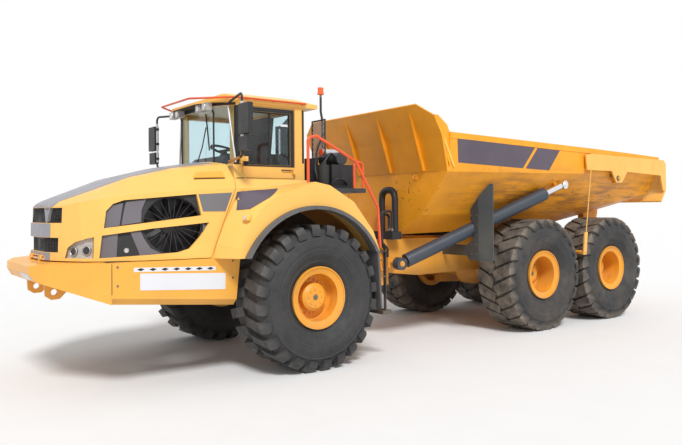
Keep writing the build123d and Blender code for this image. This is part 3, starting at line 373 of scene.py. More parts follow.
FINISHES = (
    # Paler copy of the machine's yellow paint: a painted highlight for sunlight on the hood, cowl, fenders,
    # cab and marker pods.
    Paint("yellow_painted_sunlit", (0.88, 0.50, 0.115), 0.34, mottle=0.05, rust=0.10, dust=0.12),
    Paint("skirt_yellow", (0.84, 0.40, 0.055), 0.36, mottle=0.06, rust=0.16, dust=0.2),
    Paint("frame_yellow", (0.78, 0.34, 0.035), 0.5, mottle=0.12, rust=0.6, dust=0.55, dust_top=1.6),
    Paint("gate_yellow", (0.86, 0.47, 0.10), 0.45, mottle=0.08, rust=0.5, dust=0.0),
    Paint("rim_yellow", (0.80, 0.33, 0.02), 0.45, mottle=0.10, rust=0.7, dust=0.45, dust_top=1.5),
    BodyPaint("body_orange", (0.88, 0.355, 0.012), 0.48, mottle=0.10, rust=0.5, dust=0.0),
    Paint("rail_red", (0.75, 0.10, 0.025), 0.4, rust=0.3, dust=0.0),
    Paint("bracket_red", (0.45, 0.03, 0.02), 0.5, rust=0.5, dust=0.3),
    Paint("steel_dark", (0.035, 0.037, 0.042), 0.5, rust=0.35, dust=0.45),
    Paint("guard_black", (0.045, 0.055, 0.060), 0.55, rust=0.3, dust=0.35, dust_top=2.0),
    Paint("cylinder_slate", (0.040, 0.052, 0.070), 0.42, rust=0.35, dust=0.4),
    Finish("castings", (0.06, 0.045, 0.035), 0.8, relief=0.6),
    Finish("panel_grey", (0.135, 0.125, 0.14), 0.45, mottle=0.06),
    Finish("band_grey", (0.16, 0.155, 0.165), 0.4, mottle=0.05),
    Finish("decal_slate", (0.095, 0.075, 0.10), 0.45, mottle=0.10),
    Finish("stripe_grey", (0.27, 0.27, 0.30), 0.42, mottle=0.05),
    Finish("plastic_black", (0.018, 0.018, 0.02), 0.5),
    Finish("gasket_black", (0.012, 0.013, 0.014), 0.6),
    Finish("flare_rubber", (0.11, 0.105, 0.105), 0.62, mottle=0.2, relief=0.35),
    Finish("hose_rubber", (0.02, 0.02, 0.022), 0.55),
    Finish("seat_cloth", (0.035, 0.037, 0.045), 0.9, relief=0.5),
    Finish("silver", (0.62, 0.62, 0.64), 0.35, metallic=0.9, mottle=0.1),
    Finish("chrome", (0.80, 0.80, 0.82), 0.16, metallic=1.0, mottle=0.04),
    Finish("mirror", (0.85, 0.86, 0.90), 0.03, metallic=1.0, mottle=0.02, relief=0.0),
    Finish("bolt_steel", (0.22, 0.19, 0.16), 0.5, metallic=0.7, mottle=0.3),
    Finish("plate_white", (0.72, 0.72, 0.75), 0.4, mottle=0.03),
    Finish("ring_grey", (0.055, 0.054, 0.054), 0.7, mottle=0.2),
    Finish("guard_wire", (0.045, 0.044, 0.045), 0.5, mottle=0.3),
    Finish("mesh_grey", (0.30, 0.32, 0.36), 0.45, metallic=0.5, mottle=0.2),
    Finish("stay_brown", (0.42, 0.19, 0.06), 0.55, mottle=0.35, relief=0.4),
    # Warm near-black for the roof's front underside and the inner walls of the front arches: painted shade.
    Finish("dark_painted_shade", (0.050, 0.038, 0.026), 0.7, mottle=0.25),
    Paint("rib_yellow", (0.92, 0.56, 0.09), 0.4, mottle=0.05, rust=0.2, dust=0.0),
    Finish("mark_black", (0.012, 0.012, 0.012), 0.5),
    Finish("lamp_grey", (0.42, 0.40, 0.38), 0.35, mottle=0.12),
    Finish("lamp_silver", (0.74, 0.72, 0.68), 0.4, mottle=0.08),
    # Darker orange for the arch linings: painted shade under the front fenders, with rust and dust on top.
    Paint("liner_shade_and_dirt", (0.42, 0.16, 0.02), 0.6, mottle=0.2, rust=0.6, dust=0.5, dust_top=2.2),
    Finish("lens_smoke", (0.03, 0.025, 0.022), 0.12, mottle=0.3, relief=0.05),
    Finish("lens_red", (0.45, 0.02, 0.015), 0.2),
    Finish("lens_clear", (0.72, 0.72, 0.70), 0.15, metallic=0.4),
    Glass("window_glass", (0.87, 0.945, 0.96)),
    Glass("lamp_glass", (0.88, 0.88, 0.88)),
)

NODE_FINISH = {node: finish for finish, nodes in (
    # The hood, cowl, fenders and cab take the paler yellow that paints sunlight on them.
    ("yellow_painted_sunlit", "hood cowl fenders cab_shell cab_roof cab_door"),
    ("skirt_yellow", "bumper skirts"),
    ("frame_yellow", "hitch rear_frame bogie"),
    ("gate_yellow", "tailgate tailgate_wires"),
    ("body_orange", "dump_body"),
    ("castings", "front_axle engine"),
    ("steel_dark", "front_frame deck rear_screen exhaust cab_step"),
    ("plastic_black", "cooling_fan vent_panels grille mirror_arms deck_boxes"),
    ("guard_black", "mudguards"),
    ("flare_rubber", "flares"),
    ("hose_rubber", "hoses"),
    ("window_glass", "cab_glass door_glass"),
    ("lamp_glass", "headlamps"),
    ("lamp_grey", "work_lamps"),
    ("lens_red", "tail_lamps"),
    ("mirror", "mirror_glass"),
    ("seat_cloth", "cab_interior"),
    ("rail_red", "handrails"),
    ("bracket_red", "lamp_posts"),
) for node in nodes.split()}


# ------------------------------------------------------------------ geometry
class Skin:
    """Outer surface of some CAD nodes, to seat thin pieces on."""

    def __init__(self, *nodes: str) -> None:
        """Gather the nodes' meshes into one search tree."""
        mesh = bmesh.new()
        for name in nodes:
            mesh.from_mesh(FRAME["nodes"][name].data)
        bmesh.ops.triangulate(mesh, faces=mesh.faces[:])
        self.tree = BVHTree.FromBMesh(mesh)
        mesh.free()

    def hit(self, start: Vector, way: Vector) -> tuple[Vector, Vector]:
        """Point and normal where a ray meets the surface, or the nearest point if it misses.

        Args:
            start: where the ray starts.
            way: its direction.

        Returns:
            The point and the normal that faces the ray.
        """
        place, normal, _, _ = self.tree.ray_cast(start, way)
        if place is None:
            place, normal, _, _ = self.tree.find_nearest(start)
        return place, (-normal if normal.dot(way) > 0 else normal)

    def ahead(self, y: float, z: float) -> tuple[Vector, Vector]:
        """Point and normal that are met from straight ahead of the object."""
        return self.hit(Vector((FAR, y, z)), Vector((-1, 0, 0)))


@dataclass(frozen=True)
class Row:
    """How a piece is repeated: along a step, or by a turn about its Z axis."""

    count: int
    step: Triple = (0.0, 0.0, 0.0)
    turn: float = 0.0
    scatter: float = 0.0
    seed: int = 7


def wire(tree: bpy.types.NodeTree, *links: Wire) -> None:
    """Link outputs of nodes to inputs of other nodes."""
    for source, output, target, socket in links:
        tree.links.new(source.outputs[output], target.inputs[socket])


class Repeater:
    """Geometry Nodes tree that repeats a mesh along a line or round its Z axis."""

    INPUTS = (("Count", "NodeSocketInt"), ("Step", "NodeSocketVector"), ("Turn", "NodeSocketFloat"),
              ("Scatter", "NodeSocketFloat"), ("Seed", "NodeSocketInt"), ("Finish", "NodeSocketMaterial"))

    def __init__(self) -> None:
        """Build the tree once."""
        tree = bpy.data.node_groups.new("repeat_piece", "GeometryNodeTree")
        tree.interface.new_socket("Geometry", in_out="INPUT", socket_type="NodeSocketGeometry")
        for name, kind in self.INPUTS:
            tree.interface.new_socket(name, in_out="INPUT", socket_type=kind)
        tree.interface.new_socket("Geometry", in_out="OUTPUT", socket_type="NodeSocketGeometry")
        new = tree.nodes.new
        source, target = new("NodeGroupInput"), new("NodeGroupOutput")
        index, points = new("GeometryNodeInputIndex"), new("GeometryNodePoints")
        place, turn, spin = new("ShaderNodeVectorMath"), new("ShaderNodeMath"), new("ShaderNodeCombineXYZ")
        place.operation, turn.operation = "SCALE", "MULTIPLY"
        chance, size = new("FunctionNodeRandomValue"), new("ShaderNodeMath")
        chance.data_type = "FLOAT"
        chance.inputs[2].default_value, chance.inputs[3].default_value = -1.0, 1.0
        size.operation = "MULTIPLY_ADD"
        size.inputs[2].default_value = 1.0
        stamp, real, coat = (new("GeometryNodeInstanceOnPoints"), new("GeometryNodeRealizeInstances"),
                             new("GeometryNodeSetMaterial"))
        wire(tree, (source, "Count", points, "Count"), (source, "Step", place, 0),
             (index, 0, place, "Scale"), (place, 0, points, "Position"), (index, 0, turn, 0),
             (source, "Turn", turn, 1), (turn, 0, spin, 2), (source, "Seed", chance, "Seed"),
             (chance, 1, size, 0), (source, "Scatter", size, 1), (points, 0, stamp, "Points"),
             (source, "Geometry", stamp, "Instance"), (spin, 0, stamp, "Rotation"),
             (size, 0, stamp, "Scale"), (stamp, 0, real, 0), (real, 0, coat, "Geometry"),
             (source, "Finish", coat, "Material"), (coat, 0, target, 0))
        self.tree = tree
        self.keys = {item.name: item.identifier for item in tree.interface.items_tree
                     if item.in_out == "INPUT"}

    def run(self, mesh: bpy.types.Mesh, row: Row, finish: bpy.types.Material) -> bpy.types.Mesh:
        """Repeat a mesh.

        Args:
            mesh: the piece, drawn about the origin.
            row: count, step, turn and scatter.
            finish: material of the copies.

        Returns:
            A new mesh with all the copies.
        """
        carrier = bpy.data.objects.new("carrier", mesh)
        bpy.context.scene.collection.objects.link(carrier)
        modifier = carrier.modifiers.new("repeat", "NODES")
        modifier.node_group = self.tree
        values = {"Count": row.count, "Step": row.step, "Turn": row.turn, "Scatter": row.scatter,
                  "Seed": row.seed, "Finish": finish}
        for name, value in values.items():
            modifier[self.keys[name]] = value
        shown = carrier.evaluated_get(bpy.context.evaluated_depsgraph_get())
        made = bpy.data.meshes.new_from_object(shown)
        carrier.modifiers.remove(modifier)
        bpy.data.objects.remove(carrier)
        return made


def rounded(points: Sequence[Vector], radius: float, steps: int = 5) -> list[Vector]:
    """Route with its corners rounded.

    Args:
        points: corners of the route.
        radius: distance from a corner at which its bend starts.
        steps: points in each bend.

    Returns:
        The smoother route.
    """
    route = [points[0]]
    for before, corner, after in zip(points, points[1:], points[2:]):
        a = corner + (before - corner).normalized() * min(radius, (before - corner).length / 2)
        b = corner + (after - corner).normalized() * min(radius, (after - corner).length / 2)
        for i in range(steps + 1):
            t = i / steps
            route.append(a * (1 - t) ** 2 + corner * 2 * t * (1 - t) + b * t * t)
    return route + [points[-1]]


def frame_to(way: Vector) -> Matrix:
    """Rotation that takes the Z axis to a direction."""
    return way.normalized().to_track_quat("Z", "Y").to_matrix().to_4x4()


class Piece:
    """A mesh that is drawn in the row frame and then rides on one CAD body."""

    def __init__(self, shop: "Shop", name: str, body: str, finish: str) -> None:
        """Start an empty piece."""
        self.shop, self.name, self.body, self.finish = shop, name, body, finish
        self.mesh = bmesh.new()

    def prism(self, outline: Flat, look: Look, low: float, high: float, bevel: float = 0.003) -> "Piece":
        """Plate from a flat outline, with its long edges eased.

        Args:
            outline: corners in the plane's two coordinates, in order.
            look: axis that the plate is thick along.
            low: one face's place on that axis.
            high: the other face's place.
            bevel: width of the eased edges.

        Returns:
            The piece itself.
        """
        new = bmesh.new()
        rings = [[new.verts.new(look.spot(a, b, depth)) for a, b in outline] for depth in (low, high)]
        new.faces.new(rings[0])
        new.faces.new(rings[1])
        count = len(outline)
        for i in range(count):
            new.faces.new((rings[0][i], rings[0][(i + 1) % count], rings[1][(i + 1) % count], rings[1][i]))
        return self._take(new, bevel)

    def box(self, low: Sequence[float], high: Sequence[float], bevel: float = 0.004) -> "Piece":
        """Block with eased edges between two corners."""
        return self.prism([(low[0], low[1]), (high[0], low[1]), (high[0], high[1]), (low[0], high[1])],
                          Look.Z, low[2], high[2], bevel)

    def drum(self, start: Vector, end: Vector, radius: float, sides: int = 28,
             bevel: float = 0.003) -> "Piece":
        """Round bar with eased rims."""
        new = bmesh.new()
        matrix = Matrix.Translation((start + end) / 2) @ frame_to(end - start)
        bmesh.ops.create_cone(new, cap_ends=True, segments=sides, radius1=radius, radius2=radius,
                              depth=(end - start).length, matrix=matrix)
        return self._take(new, bevel)

    def hoop(self, centre: Vector, way: Vector, radius: float, thick: float, sides: int = 48) -> "Piece":
        """Closed ring of round bar."""
        turn = Matrix.Translation(centre) @ frame_to(way)
        route = [turn @ Vector((radius * math.cos(a), radius * math.sin(a), 0))
                 for a in (2 * math.pi * i / sides for i in range(sides))]
        return self.tube(route, thick, closed=True)

    def tube(self, route: Sequence[Vector], radius: float, sides: int = 8, closed: bool = False) -> "Piece":
        """Round bar along a route.

        Args:
            route: points on its centre line.
            radius: radius of the bar.
            sides: sides of its section.
            closed: whether the end joins the start.

        Returns:
            The piece itself.
        """
        new = bmesh.new()
        count = len(route)
        rings = []
        normal = None
        for i, place in enumerate(route):
            ahead = route[(i + 1) % count] if closed or i + 1 < count else place
            behind = route[i - 1] if closed or i else place
            way = (ahead - behind).normalized()
            if normal is None:
                normal = way.orthogonal().normalized()
            normal = (normal - way * normal.dot(way)).normalized()
            other = way.cross(normal)
            rings.append([new.verts.new(place + radius * (normal * math.cos(a) + other * math.sin(a)))
                          for a in (2 * math.pi * k / sides for k in range(sides))])
        for i in range(count if closed else count - 1):
            a, b = rings[i], rings[(i + 1) % count]
            for k in range(sides):
                new.faces.new((a[k], a[(k + 1) % sides], b[(k + 1) % sides], b[k]))
        if not closed:
            new.faces.new(rings[0])
            new.faces.new(rings[-1])
        return self._take(new, 0.0)

    def lay(self, skin: Skin, outline: Flat, look: Look, sign: int, thick: float = 0.003,
            cell: float = CELL, root: float = 0.0005) -> "Piece":
        """Thin sheet that follows a surface inside an outline.

        Args:
            skin: surface to follow.
            outline: corners in the plane's two coordinates, in order.
            look: axis that the outline is dropped along.
            sign: side of the surface that the outline starts from.
            thick: height of its outer face over the surface.
            cell: greatest size of the sheet's cells.
            root: depth of its inner face under the surface.

        Returns:
            The piece itself.
        """
        new = bmesh.new()
        new.faces.new([new.verts.new(look.spot(a, b, sign * FAR)) for a, b in outline])
        for index, normal in enumerate((look.spot(1, 0, 0), look.spot(0, 1, 0))):
            values = [corner[index] for corner in outline]
            for step in range(1, math.ceil((max(values) - min(values)) / cell)):
                place = look.spot(0, 0, sign * FAR) + normal * (min(values) + step * cell)
                bmesh.ops.bisect_plane(new, geom=new.verts[:] + new.edges[:] + new.faces[:], plane_co=place,
                                       plane_no=normal)
        bmesh.ops.triangulate(new, faces=new.faces[:])
        way = look.spot(0, 0, -sign)
        tops, feet = {}, {}
        for vert in new.verts[:]:
            place, normal = skin.hit(vert.co, way)
            tops[vert], feet[vert] = place + normal * thick, place - normal * root
        faces = new.faces[:]
        lower = {vert: new.verts.new(feet[vert]) for vert in tops}
        rim = [edge for edge in new.edges if edge.is_boundary]
        for vert, place in tops.items():
            vert.co = place
        for face in faces:
            new.faces.new([lower[vert] for vert in reversed(face.verts)])
        for edge in rim:
            a, b = edge.verts
            new.faces.new((a, b, lower[b], lower[a]))
        return self._take(new, 0.0)

    def trim(self, skin: Skin, outline: Flat, look: Look, sign: int, radius: float,
             closed: bool = True) -> "Piece":
        """Round bead on a surface along an outline."""
        ends = [*outline, outline[0]] if closed else [*outline]
        places = []
        for (a0, b0), (a1, b1) in zip(ends, ends[1:]):
            steps = max(1, math.ceil(math.hypot(a1 - a0, b1 - b0) / CELL))
            places += [(a0 + (a1 - a0) * i / steps, b0 + (b1 - b0) * i / steps) for i in range(steps)]
        if not closed:
            places.append(ends[-1])
        route = [skin.hit(look.spot(a, b, sign * FAR), look.spot(0, 0, -sign))[0] for a, b in places]
        return self.tube(route, radius, 6, closed)

    def repeat(self, item: bpy.types.Mesh, row: Row, place: Matrix) -> "Piece":
        """Add the copies of a mesh, made by Geometry Nodes, at a place."""
        made = self.shop.repeater.run(item, row, self.shop.paints[self.finish])
        made.transform(place)
        self.mesh.from_mesh(made)
        return self

    def _take(self, new: bmesh.types.BMesh, bevel: float) -> "Piece":
        """Merge a closed shape into the piece with its faces outward."""
        bmesh.ops.recalc_face_normals(new, faces=new.faces[:])
        if bevel:
            sharp = [edge for edge in new.edges
                     if len(edge.link_faces) == 2 and edge.calc_face_angle() > SHARP]
            bmesh.ops.bevel(new, geom=sharp, offset=bevel, segments=1, affect="EDGES", clamp_overlap=True)
        spare = bpy.data.meshes.new("spare")
        new.to_mesh(spare)
        new.free()
        self.mesh.from_mesh(spare)
        bpy.data.meshes.remove(spare)
        return self

    def done(self, smooth: float = 0.6) -> bpy.types.Object:
        """Turn the piece into an object that rides on its body.

        Args:
            smooth: angle below which edges are shaded smooth.

        Returns:
            The object.
        """
        data = bpy.data.meshes.new(self.name)
        for edge in self.mesh.edges:
            edge.smooth = len(edge.link_faces) == 2 and edge.calc_face_angle(0) < smooth
        for face in self.mesh.faces:
            face.smooth = True
            face.material_index = 0
        self.mesh.to_mesh(data)
        self.mesh.free()
        data.materials.clear()
        data.materials.append(self.shop.paints[self.finish])
        made = bpy.data.objects.new(self.name, data)
        bpy.context.scene.collection.objects.link(made)
        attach(made, self.body)
        LOG.info("%s: %d faces on %s", self.name, len(data.polygons), self.body)
        return made


def finish_all(*pieces: Piece) -> None:
    """Finish several pieces in order."""
    for piece in pieces:
        piece.done()


def item_mesh(draw: Iterable[tuple[float, float, float, int]]) -> bpy.types.Mesh:
    """Stack of round or many-sided drums on the Z axis.

    Args:
        draw: for each drum its foot, its top, its radius and its number of sides.

    Returns:
        The mesh, with its foot on the XY plane.
    """
    mesh = bmesh.new()
    for low, high, radius, sides in draw:
        bmesh.ops.create_cone(mesh, cap_ends=True, segments=sides, radius1=radius, radius2=radius * 0.94,
                              depth=high - low, matrix=Matrix.Translation((0, 0, (low + high) / 2)))
    data = bpy.data.meshes.new("item")
    mesh.to_mesh(data)
    mesh.free()
    return data


class Shop:
    """What the assemblies share: the datum, the finishes and the repeater."""

    def __init__(self) -> None:
        """Make the finishes and read the datum from the front wheel."""
        low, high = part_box("rim_front_left")
        self.axle = (low.x + high.x) / 2
        self.paints = {finish.name: finish.build() for finish in FINISHES}
        self.repeater = Repeater()
        LOG.info("datum at x = %.3f m, %d finishes", self.axle, len(self.paints))

    def at(self, x: float, y: float, z: float) -> Vector:
        """Row place of a point given from the front axle, the centre line and the ground."""
        return Vector((x + self.axle, y, z))

    def flat(self, outline: Flat) -> list[Pair]:
        """Outline with its first coordinate moved from the front axle to the row frame."""
        return [(x + self.axle, z) for x, z in outline]

    def beside(self, skin: Skin, x: float, z: float, sign: int) -> tuple[Vector, Vector]:
        """Point and normal of a surface that are met from one side, x being from the front axle."""
        return skin.hit(self.at(x, FAR * sign, z), Vector((0, -sign, 0)))

    def piece(self, name: str, body: str, finish: str) -> Piece:
        """Start a piece."""
        return Piece(self, name, body, finish)

    def pieces(self, body: str, **finishes: str) -> list[Piece]:
        """Start pieces on one body, each under its name with its finish."""
        return [self.piece(name, body, finish) for name, finish in finishes.items()]

    @staticmethod
    def bolt(size: float) -> bpy.types.Mesh:
        """Hexagon head of a half width on its washer."""
        seat = 0.25 * size
        return item_mesh(((0, seat, 1.35 * size, 12), (seat, 1.1 * size, size, 6)))

    def sheet(self, name: str, body: str, finish: str, skin: Skin, outline: Flat, look: Look, sign: int,
              *sizes: float) -> None:
        """Finished piece that is one thin sheet.

        Args:
            name: name of the piece.
            body: body that it rides on.
            finish: its finish.
            skin: surface to follow.
            outline: corners in the plane's two coordinates.
            look: axis that the outline is dropped along.
            sign: side of the surface that it starts from.
            sizes: height over the surface, size of the cells and depth of the root, as far as given.
        """
        piece = self.piece(name, body, finish)
        piece.lay(skin, outline, look, sign, *sizes)
        piece.done()

    def bolts_round(self, piece: Piece, centre: Vector, way: Vector, radius: float, count: int,
                    size: float, first: float = 0.0, turn: float = 0.0) -> None:
        """Ring or arc of hexagon bolts.

        Args:
            piece: piece that takes them.
            centre: middle of the ring, on the seat.
            way: direction that the heads face.
            radius: radius of the ring.
            count: number of bolts.
            size: half width of a head.
            first: angle of the first bolt above the level line ahead, for an arc.
            turn: angle between bolts for an arc, or nought for a full ring.
        """
        item = self.bolt(size)
        place = Matrix.Translation(centre) @ frame_to(way)
        if turn:
            upright = Matrix.Translation(centre) @ Matrix.Rotation(math.copysign(math.pi / 2, -way.y), 4, "X")
            turn = math.copysign(turn, -way.y)
            place = upright @ Matrix.Rotation(math.copysign(first, -way.y), 4, "Z")
        item.transform(Matrix.Translation((radius, 0, 0)))
        piece.repeat(item, Row(count, turn=turn or 2 * math.pi / count), place)

    def bolts_line(self, piece: Piece, start: Vector, end: Vector, way: Vector, count: int,
                   size: float) -> None:
        """Line of hexagon bolts between two places, with their heads facing one way."""
        item = self.bolt(size)
        item.transform(frame_to(way))
        step = (end - start) / max(1, count - 1)
        piece.repeat(item, Row(count, step=tuple(step), scatter=0.02), Matrix.Translation(start))


# ------------------------------------------------------------------ assemblies
@dataclass
class Wheels:
    """Tyre finishes, hub bolts, plugs and sidewall beads."""

    shop: Shop
    hub_bolts: int = 20
    bolt_ring: float = 0.215
    bolt_size: float = 0.014
    sidewall_rings: tuple[float, ...] = (0.455, 0.60, 0.735)
    rubber: Colour = (0.030, 0.030, 0.031)
    clean_tread: Colour = (0.085, 0.080, 0.076)
    dusty_tread: Colour = (0.20, 0.165, 0.13)
    cap_ring: float = 0.10
    plug_radius: float = 0.035

    def build(self) -> None:
        """Dress all six wheels."""
        for axle in ("front", "middle", "rear"):
            for side in Side:
                self.wheel(axle, side)

    def wheel(self, axle: str, side: Side) -> None:
        """Dress one wheel."""
        tag = f"{axle}_{side.tag}"
        low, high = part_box(f"tyre_{tag}")
        middle = (low + high) / 2
        tread = self.clean_tread if axle == "front" else self.dusty_tread
        finish = Tread(f"tyre_{tag}", self.rubber, 0.72, mottle=0.2, centre=(middle.x, middle.z), tread=tread)
        paint_node(f"tyre_{tag}", finish.build())
        paint_node(f"rim_{tag}", self.shop.paints["rim_yellow"])
        body = f"wheel_{tag}"
        way = Vector((0, side.value, 0))
        skin = Skin(f"rim_{tag}")
        outside = middle + way * 2

        def level(surface: Skin, radius: float, lift: float = 0.0) -> Vector:
            """Middle of the wheel, level with a surface at a radius."""
            place, _ = surface.hit(outside + Vector((radius, 0, 0)), -way)
            return Vector((middle.x, place.y + lift * side.value, middle.z))
        bolts = self.shop.piece(f"hub_bolts_{tag}", body, "rim_yellow" if axle == "front" else "bolt_steel")
        self.shop.bolts_round(bolts, level(skin, self.bolt_ring), way, self.bolt_ring, self.hub_bolts,
                              self.bolt_size)
        if axle == "front":
            self.shop.bolts_round(bolts, level(skin, 0.09), way, self.cap_ring, 8, 0.010)
        bolts.done()
        plug = self.shop.piece(f"hub_plug_{tag}", body, "bolt_steel")
        spot, _ = skin.hit(outside, -way)
        plug.drum(spot - way * 0.004, spot + way * 0.008, self.plug_radius, 20)
        plug.drum(spot + way * 0.006, spot + way * 0.016, 0.4 * self.plug_radius, 6)
        plug.done()
        tyre = Skin(f"tyre_{tag}")
        bead = self.shop.piece(f"sidewall_{tag}", body, "ring_grey")
        for radius in self.sidewall_rings:
            bead.hoop(level(tyre, radius, -0.001), way, radius, 0.0048, 72)
        bead.done()


@dataclass
class HoodSide:
    """Panels, fan guard, lamps, bands and strips on one side of the hood."""

    shop: Shop
    side: Side
    fan: Triple = (1.70, 1.83, 0.33)
    spokes: int = 22
    panel_rise: float = 0.017
    lamp_radius: float = 0.047
    lamp_depth: float = 0.028
    lamps: Points = ((2.685, 1.553), (2.580, 1.566))
    covers: tuple[Points, ...] = (
        ((2.416, 1.805), (2.393, 1.99), (2.328, 2.062), (2.212, 2.085), (2.228, 2.001), (2.256, 1.835)),
        ((2.238, 1.840), (2.208, 2.00), (2.185, 2.095), (1.985, 2.13), (2.035, 2.003), (2.045, 1.87)),
        ((2.466, 1.480), (2.438, 1.732), (2.275, 1.752), (2.299, 1.480)),
        ((2.155, 1.760), (2.08, 1.537), (2.07, 1.480), (1.83, 1.495), (1.864, 1.526), (1.962, 1.578),
         (2.024, 1.690), (2.052, 1.770)),
        ((1.357, 1.845), (1.295, 1.855), (1.382, 1.722), (1.362, 1.76)),
    )
    recess: Points = ((2.285, 1.50), (2.235, 1.745), (2.170, 1.745), (2.085, 1.50))
    housing: Points = ((2.762, 1.458), (2.738, 1.61), (2.675, 1.68), (2.58, 1.72), (2.494, 1.735),
                       (2.494, 1.458))
    latch: Pair = (2.20, 1.56)
    latch_radius: float = 0.020
    spoke_radius: float = 0.0032
    hoop_radius: float = 0.0042

    def build(self) -> None:
        """Build every piece of this side."""
        self.hood = Skin("hood")
        self.cowl = Skin("cowl", "fenders")
        self.vents = Skin("vent_panels")
        self.panels()
        self.guard()
        self.headlamp()
        self.bands()

    def panels(self) -> None:
        """Grey panels in both side openings, parted by dark grooves."""
        piece = self.shop.piece(f"vent_covers_{self.side.tag}", "hood", "panel_grey")
        for outline in self.covers:
            piece.lay(self.vents, self.shop.flat(outline), Look.Y, self.side.value, self.panel_rise)
        piece.done()
        self.shop.sheet(f"vent_recess_{self.side.tag}", "hood", "mark_black", self.vents,
                        self.shop.flat(self.recess), Look.Y, self.side.value, 0.004)
        latch = self.shop.piece(f"hood_latch_{self.side.tag}", "hood", "silver")
        spot, normal = self.shop.beside(self.vents, *self.latch, self.side.value)
        latch.drum(spot, spot + normal * 0.016, self.latch_radius, 20)
        latch.hoop(spot + normal * 0.014, normal, 1.2 * self.latch_radius, 0.004, 24)
        latch.done()

    def guard(self) -> None:
        """Round fan guard with radial spokes and hoops."""
        x, z, radius = self.fan
        sign = self.side.value
        reach = radius + 0.03
        marks = [self.shop.beside(self.vents, x + a, z + b, sign)[0]
                 for a, b in ((reach, 0), (-reach, 0), (-0.25, -0.30))]
        middle = (marks[0] + marks[1]) / 2
        normal = (marks[0] - marks[1]).cross(marks[2] - middle).normalized()
        normal = normal if normal.y * sign > 0 else -normal
        centre = middle - normal * 0.008
        piece = self.shop.piece(f"fan_guard_{self.side.tag}", "hood", "guard_wire")
        spoke = item_mesh(((0.05, radius + 0.004, self.spoke_radius, 6),))
        spoke.transform(Matrix.Rotation(math.pi / 2, 4, "Y"))
        place = Matrix.Translation(centre) @ frame_to(normal)
        piece.repeat(spoke, Row(self.spokes, turn=2 * math.pi / self.spokes), place)
        for ring in (0.055, radius - 0.004):
            piece.hoop(centre, normal, ring, self.hoop_radius, 56)
        piece.done()

    def headlamp(self) -> None:
        """Backing sheet with two round lamps behind the clear cover."""
        sign = self.side.value
        cover = Skin("headlamps", "hood")
        backing = self.shop.piece(f"lamp_housing_{self.side.tag}", "hood", "lamp_silver")
        backing.lay(cover, self.shop.flat(self.housing), Look.Y, sign, -0.034, 0.04, 0.042)
        lens = self.shop.piece(f"lamp_reflectors_{self.side.tag}", "hood", "lens_smoke")
        rims = self.shop.piece(f"lamp_rims_{self.side.tag}", "hood", "silver")
        for x, z in self.lamps:
            spot, normal = self.shop.beside(cover, x, z, sign)
            ahead = (normal + Vector((0.30, 0, 0))).normalized()
            seat = spot - normal * self.lamp_depth
            lens.drum(seat - ahead * 0.02, seat + ahead * 0.006, self.lamp_radius)
            rims.hoop(seat + ahead * 0.007, ahead, self.lamp_radius, 0.006, 32)
        finish_all(backing, lens, rims)

    def bands(self) -> None:
        """Dark band behind the upper opening, which runs on over the cowl to a point, the strip on the hood,
        and thin black sheets along the ledges that paint the shadow under them.
        """
        over = Skin("cowl", "cab_shell")
        rows = (
            ("band_hood", "hood", "band_grey", self.hood,
             ((1.41, 2.186), (1.362, 1.985), (1.085, 1.985), (0.992, 2.208)), (0.003,)),
            ("band_cowl", "tractor", "decal_slate", self.cowl,
             ((0.928, 2.217), (1.000, 1.996), (0.895, 2.008), (0.70, 2.125), (0.47, 2.252), (0.60, 2.240)),
             (0.007, 0.02)),
            ("hood_strip", "hood", "skirt_yellow", self.hood,
             ((1.390, 2.374), (1.335, 2.440), (1.01, 2.462), (1.01, 2.388)), (0.016, 0.05)),
            # The next two rows are thin black sheets along the ledge on the hood and on the cowl: a painted
            # shadow line.
            ("hood_ledge_shadow", "hood", "gasket_black", self.hood,
             ((1.395, 2.364), (1.390, 2.372), (1.01, 2.387), (1.01, 2.379)), (0.004, 0.05)),
            ("cowl_ledge_shadow", "tractor", "gasket_black", over,
             ((0.975, 2.381), (0.975, 2.389), (0.69, 2.398), (0.69, 2.390)), (0.004, 0.03)),
        )
        for name, body, finish, skin, outline, sizes in rows:
            self.shop.sheet(f"{name}_{self.side.tag}", body, finish, skin, self.shop.flat(outline), Look.Y,
                            self.side.value, *sizes)


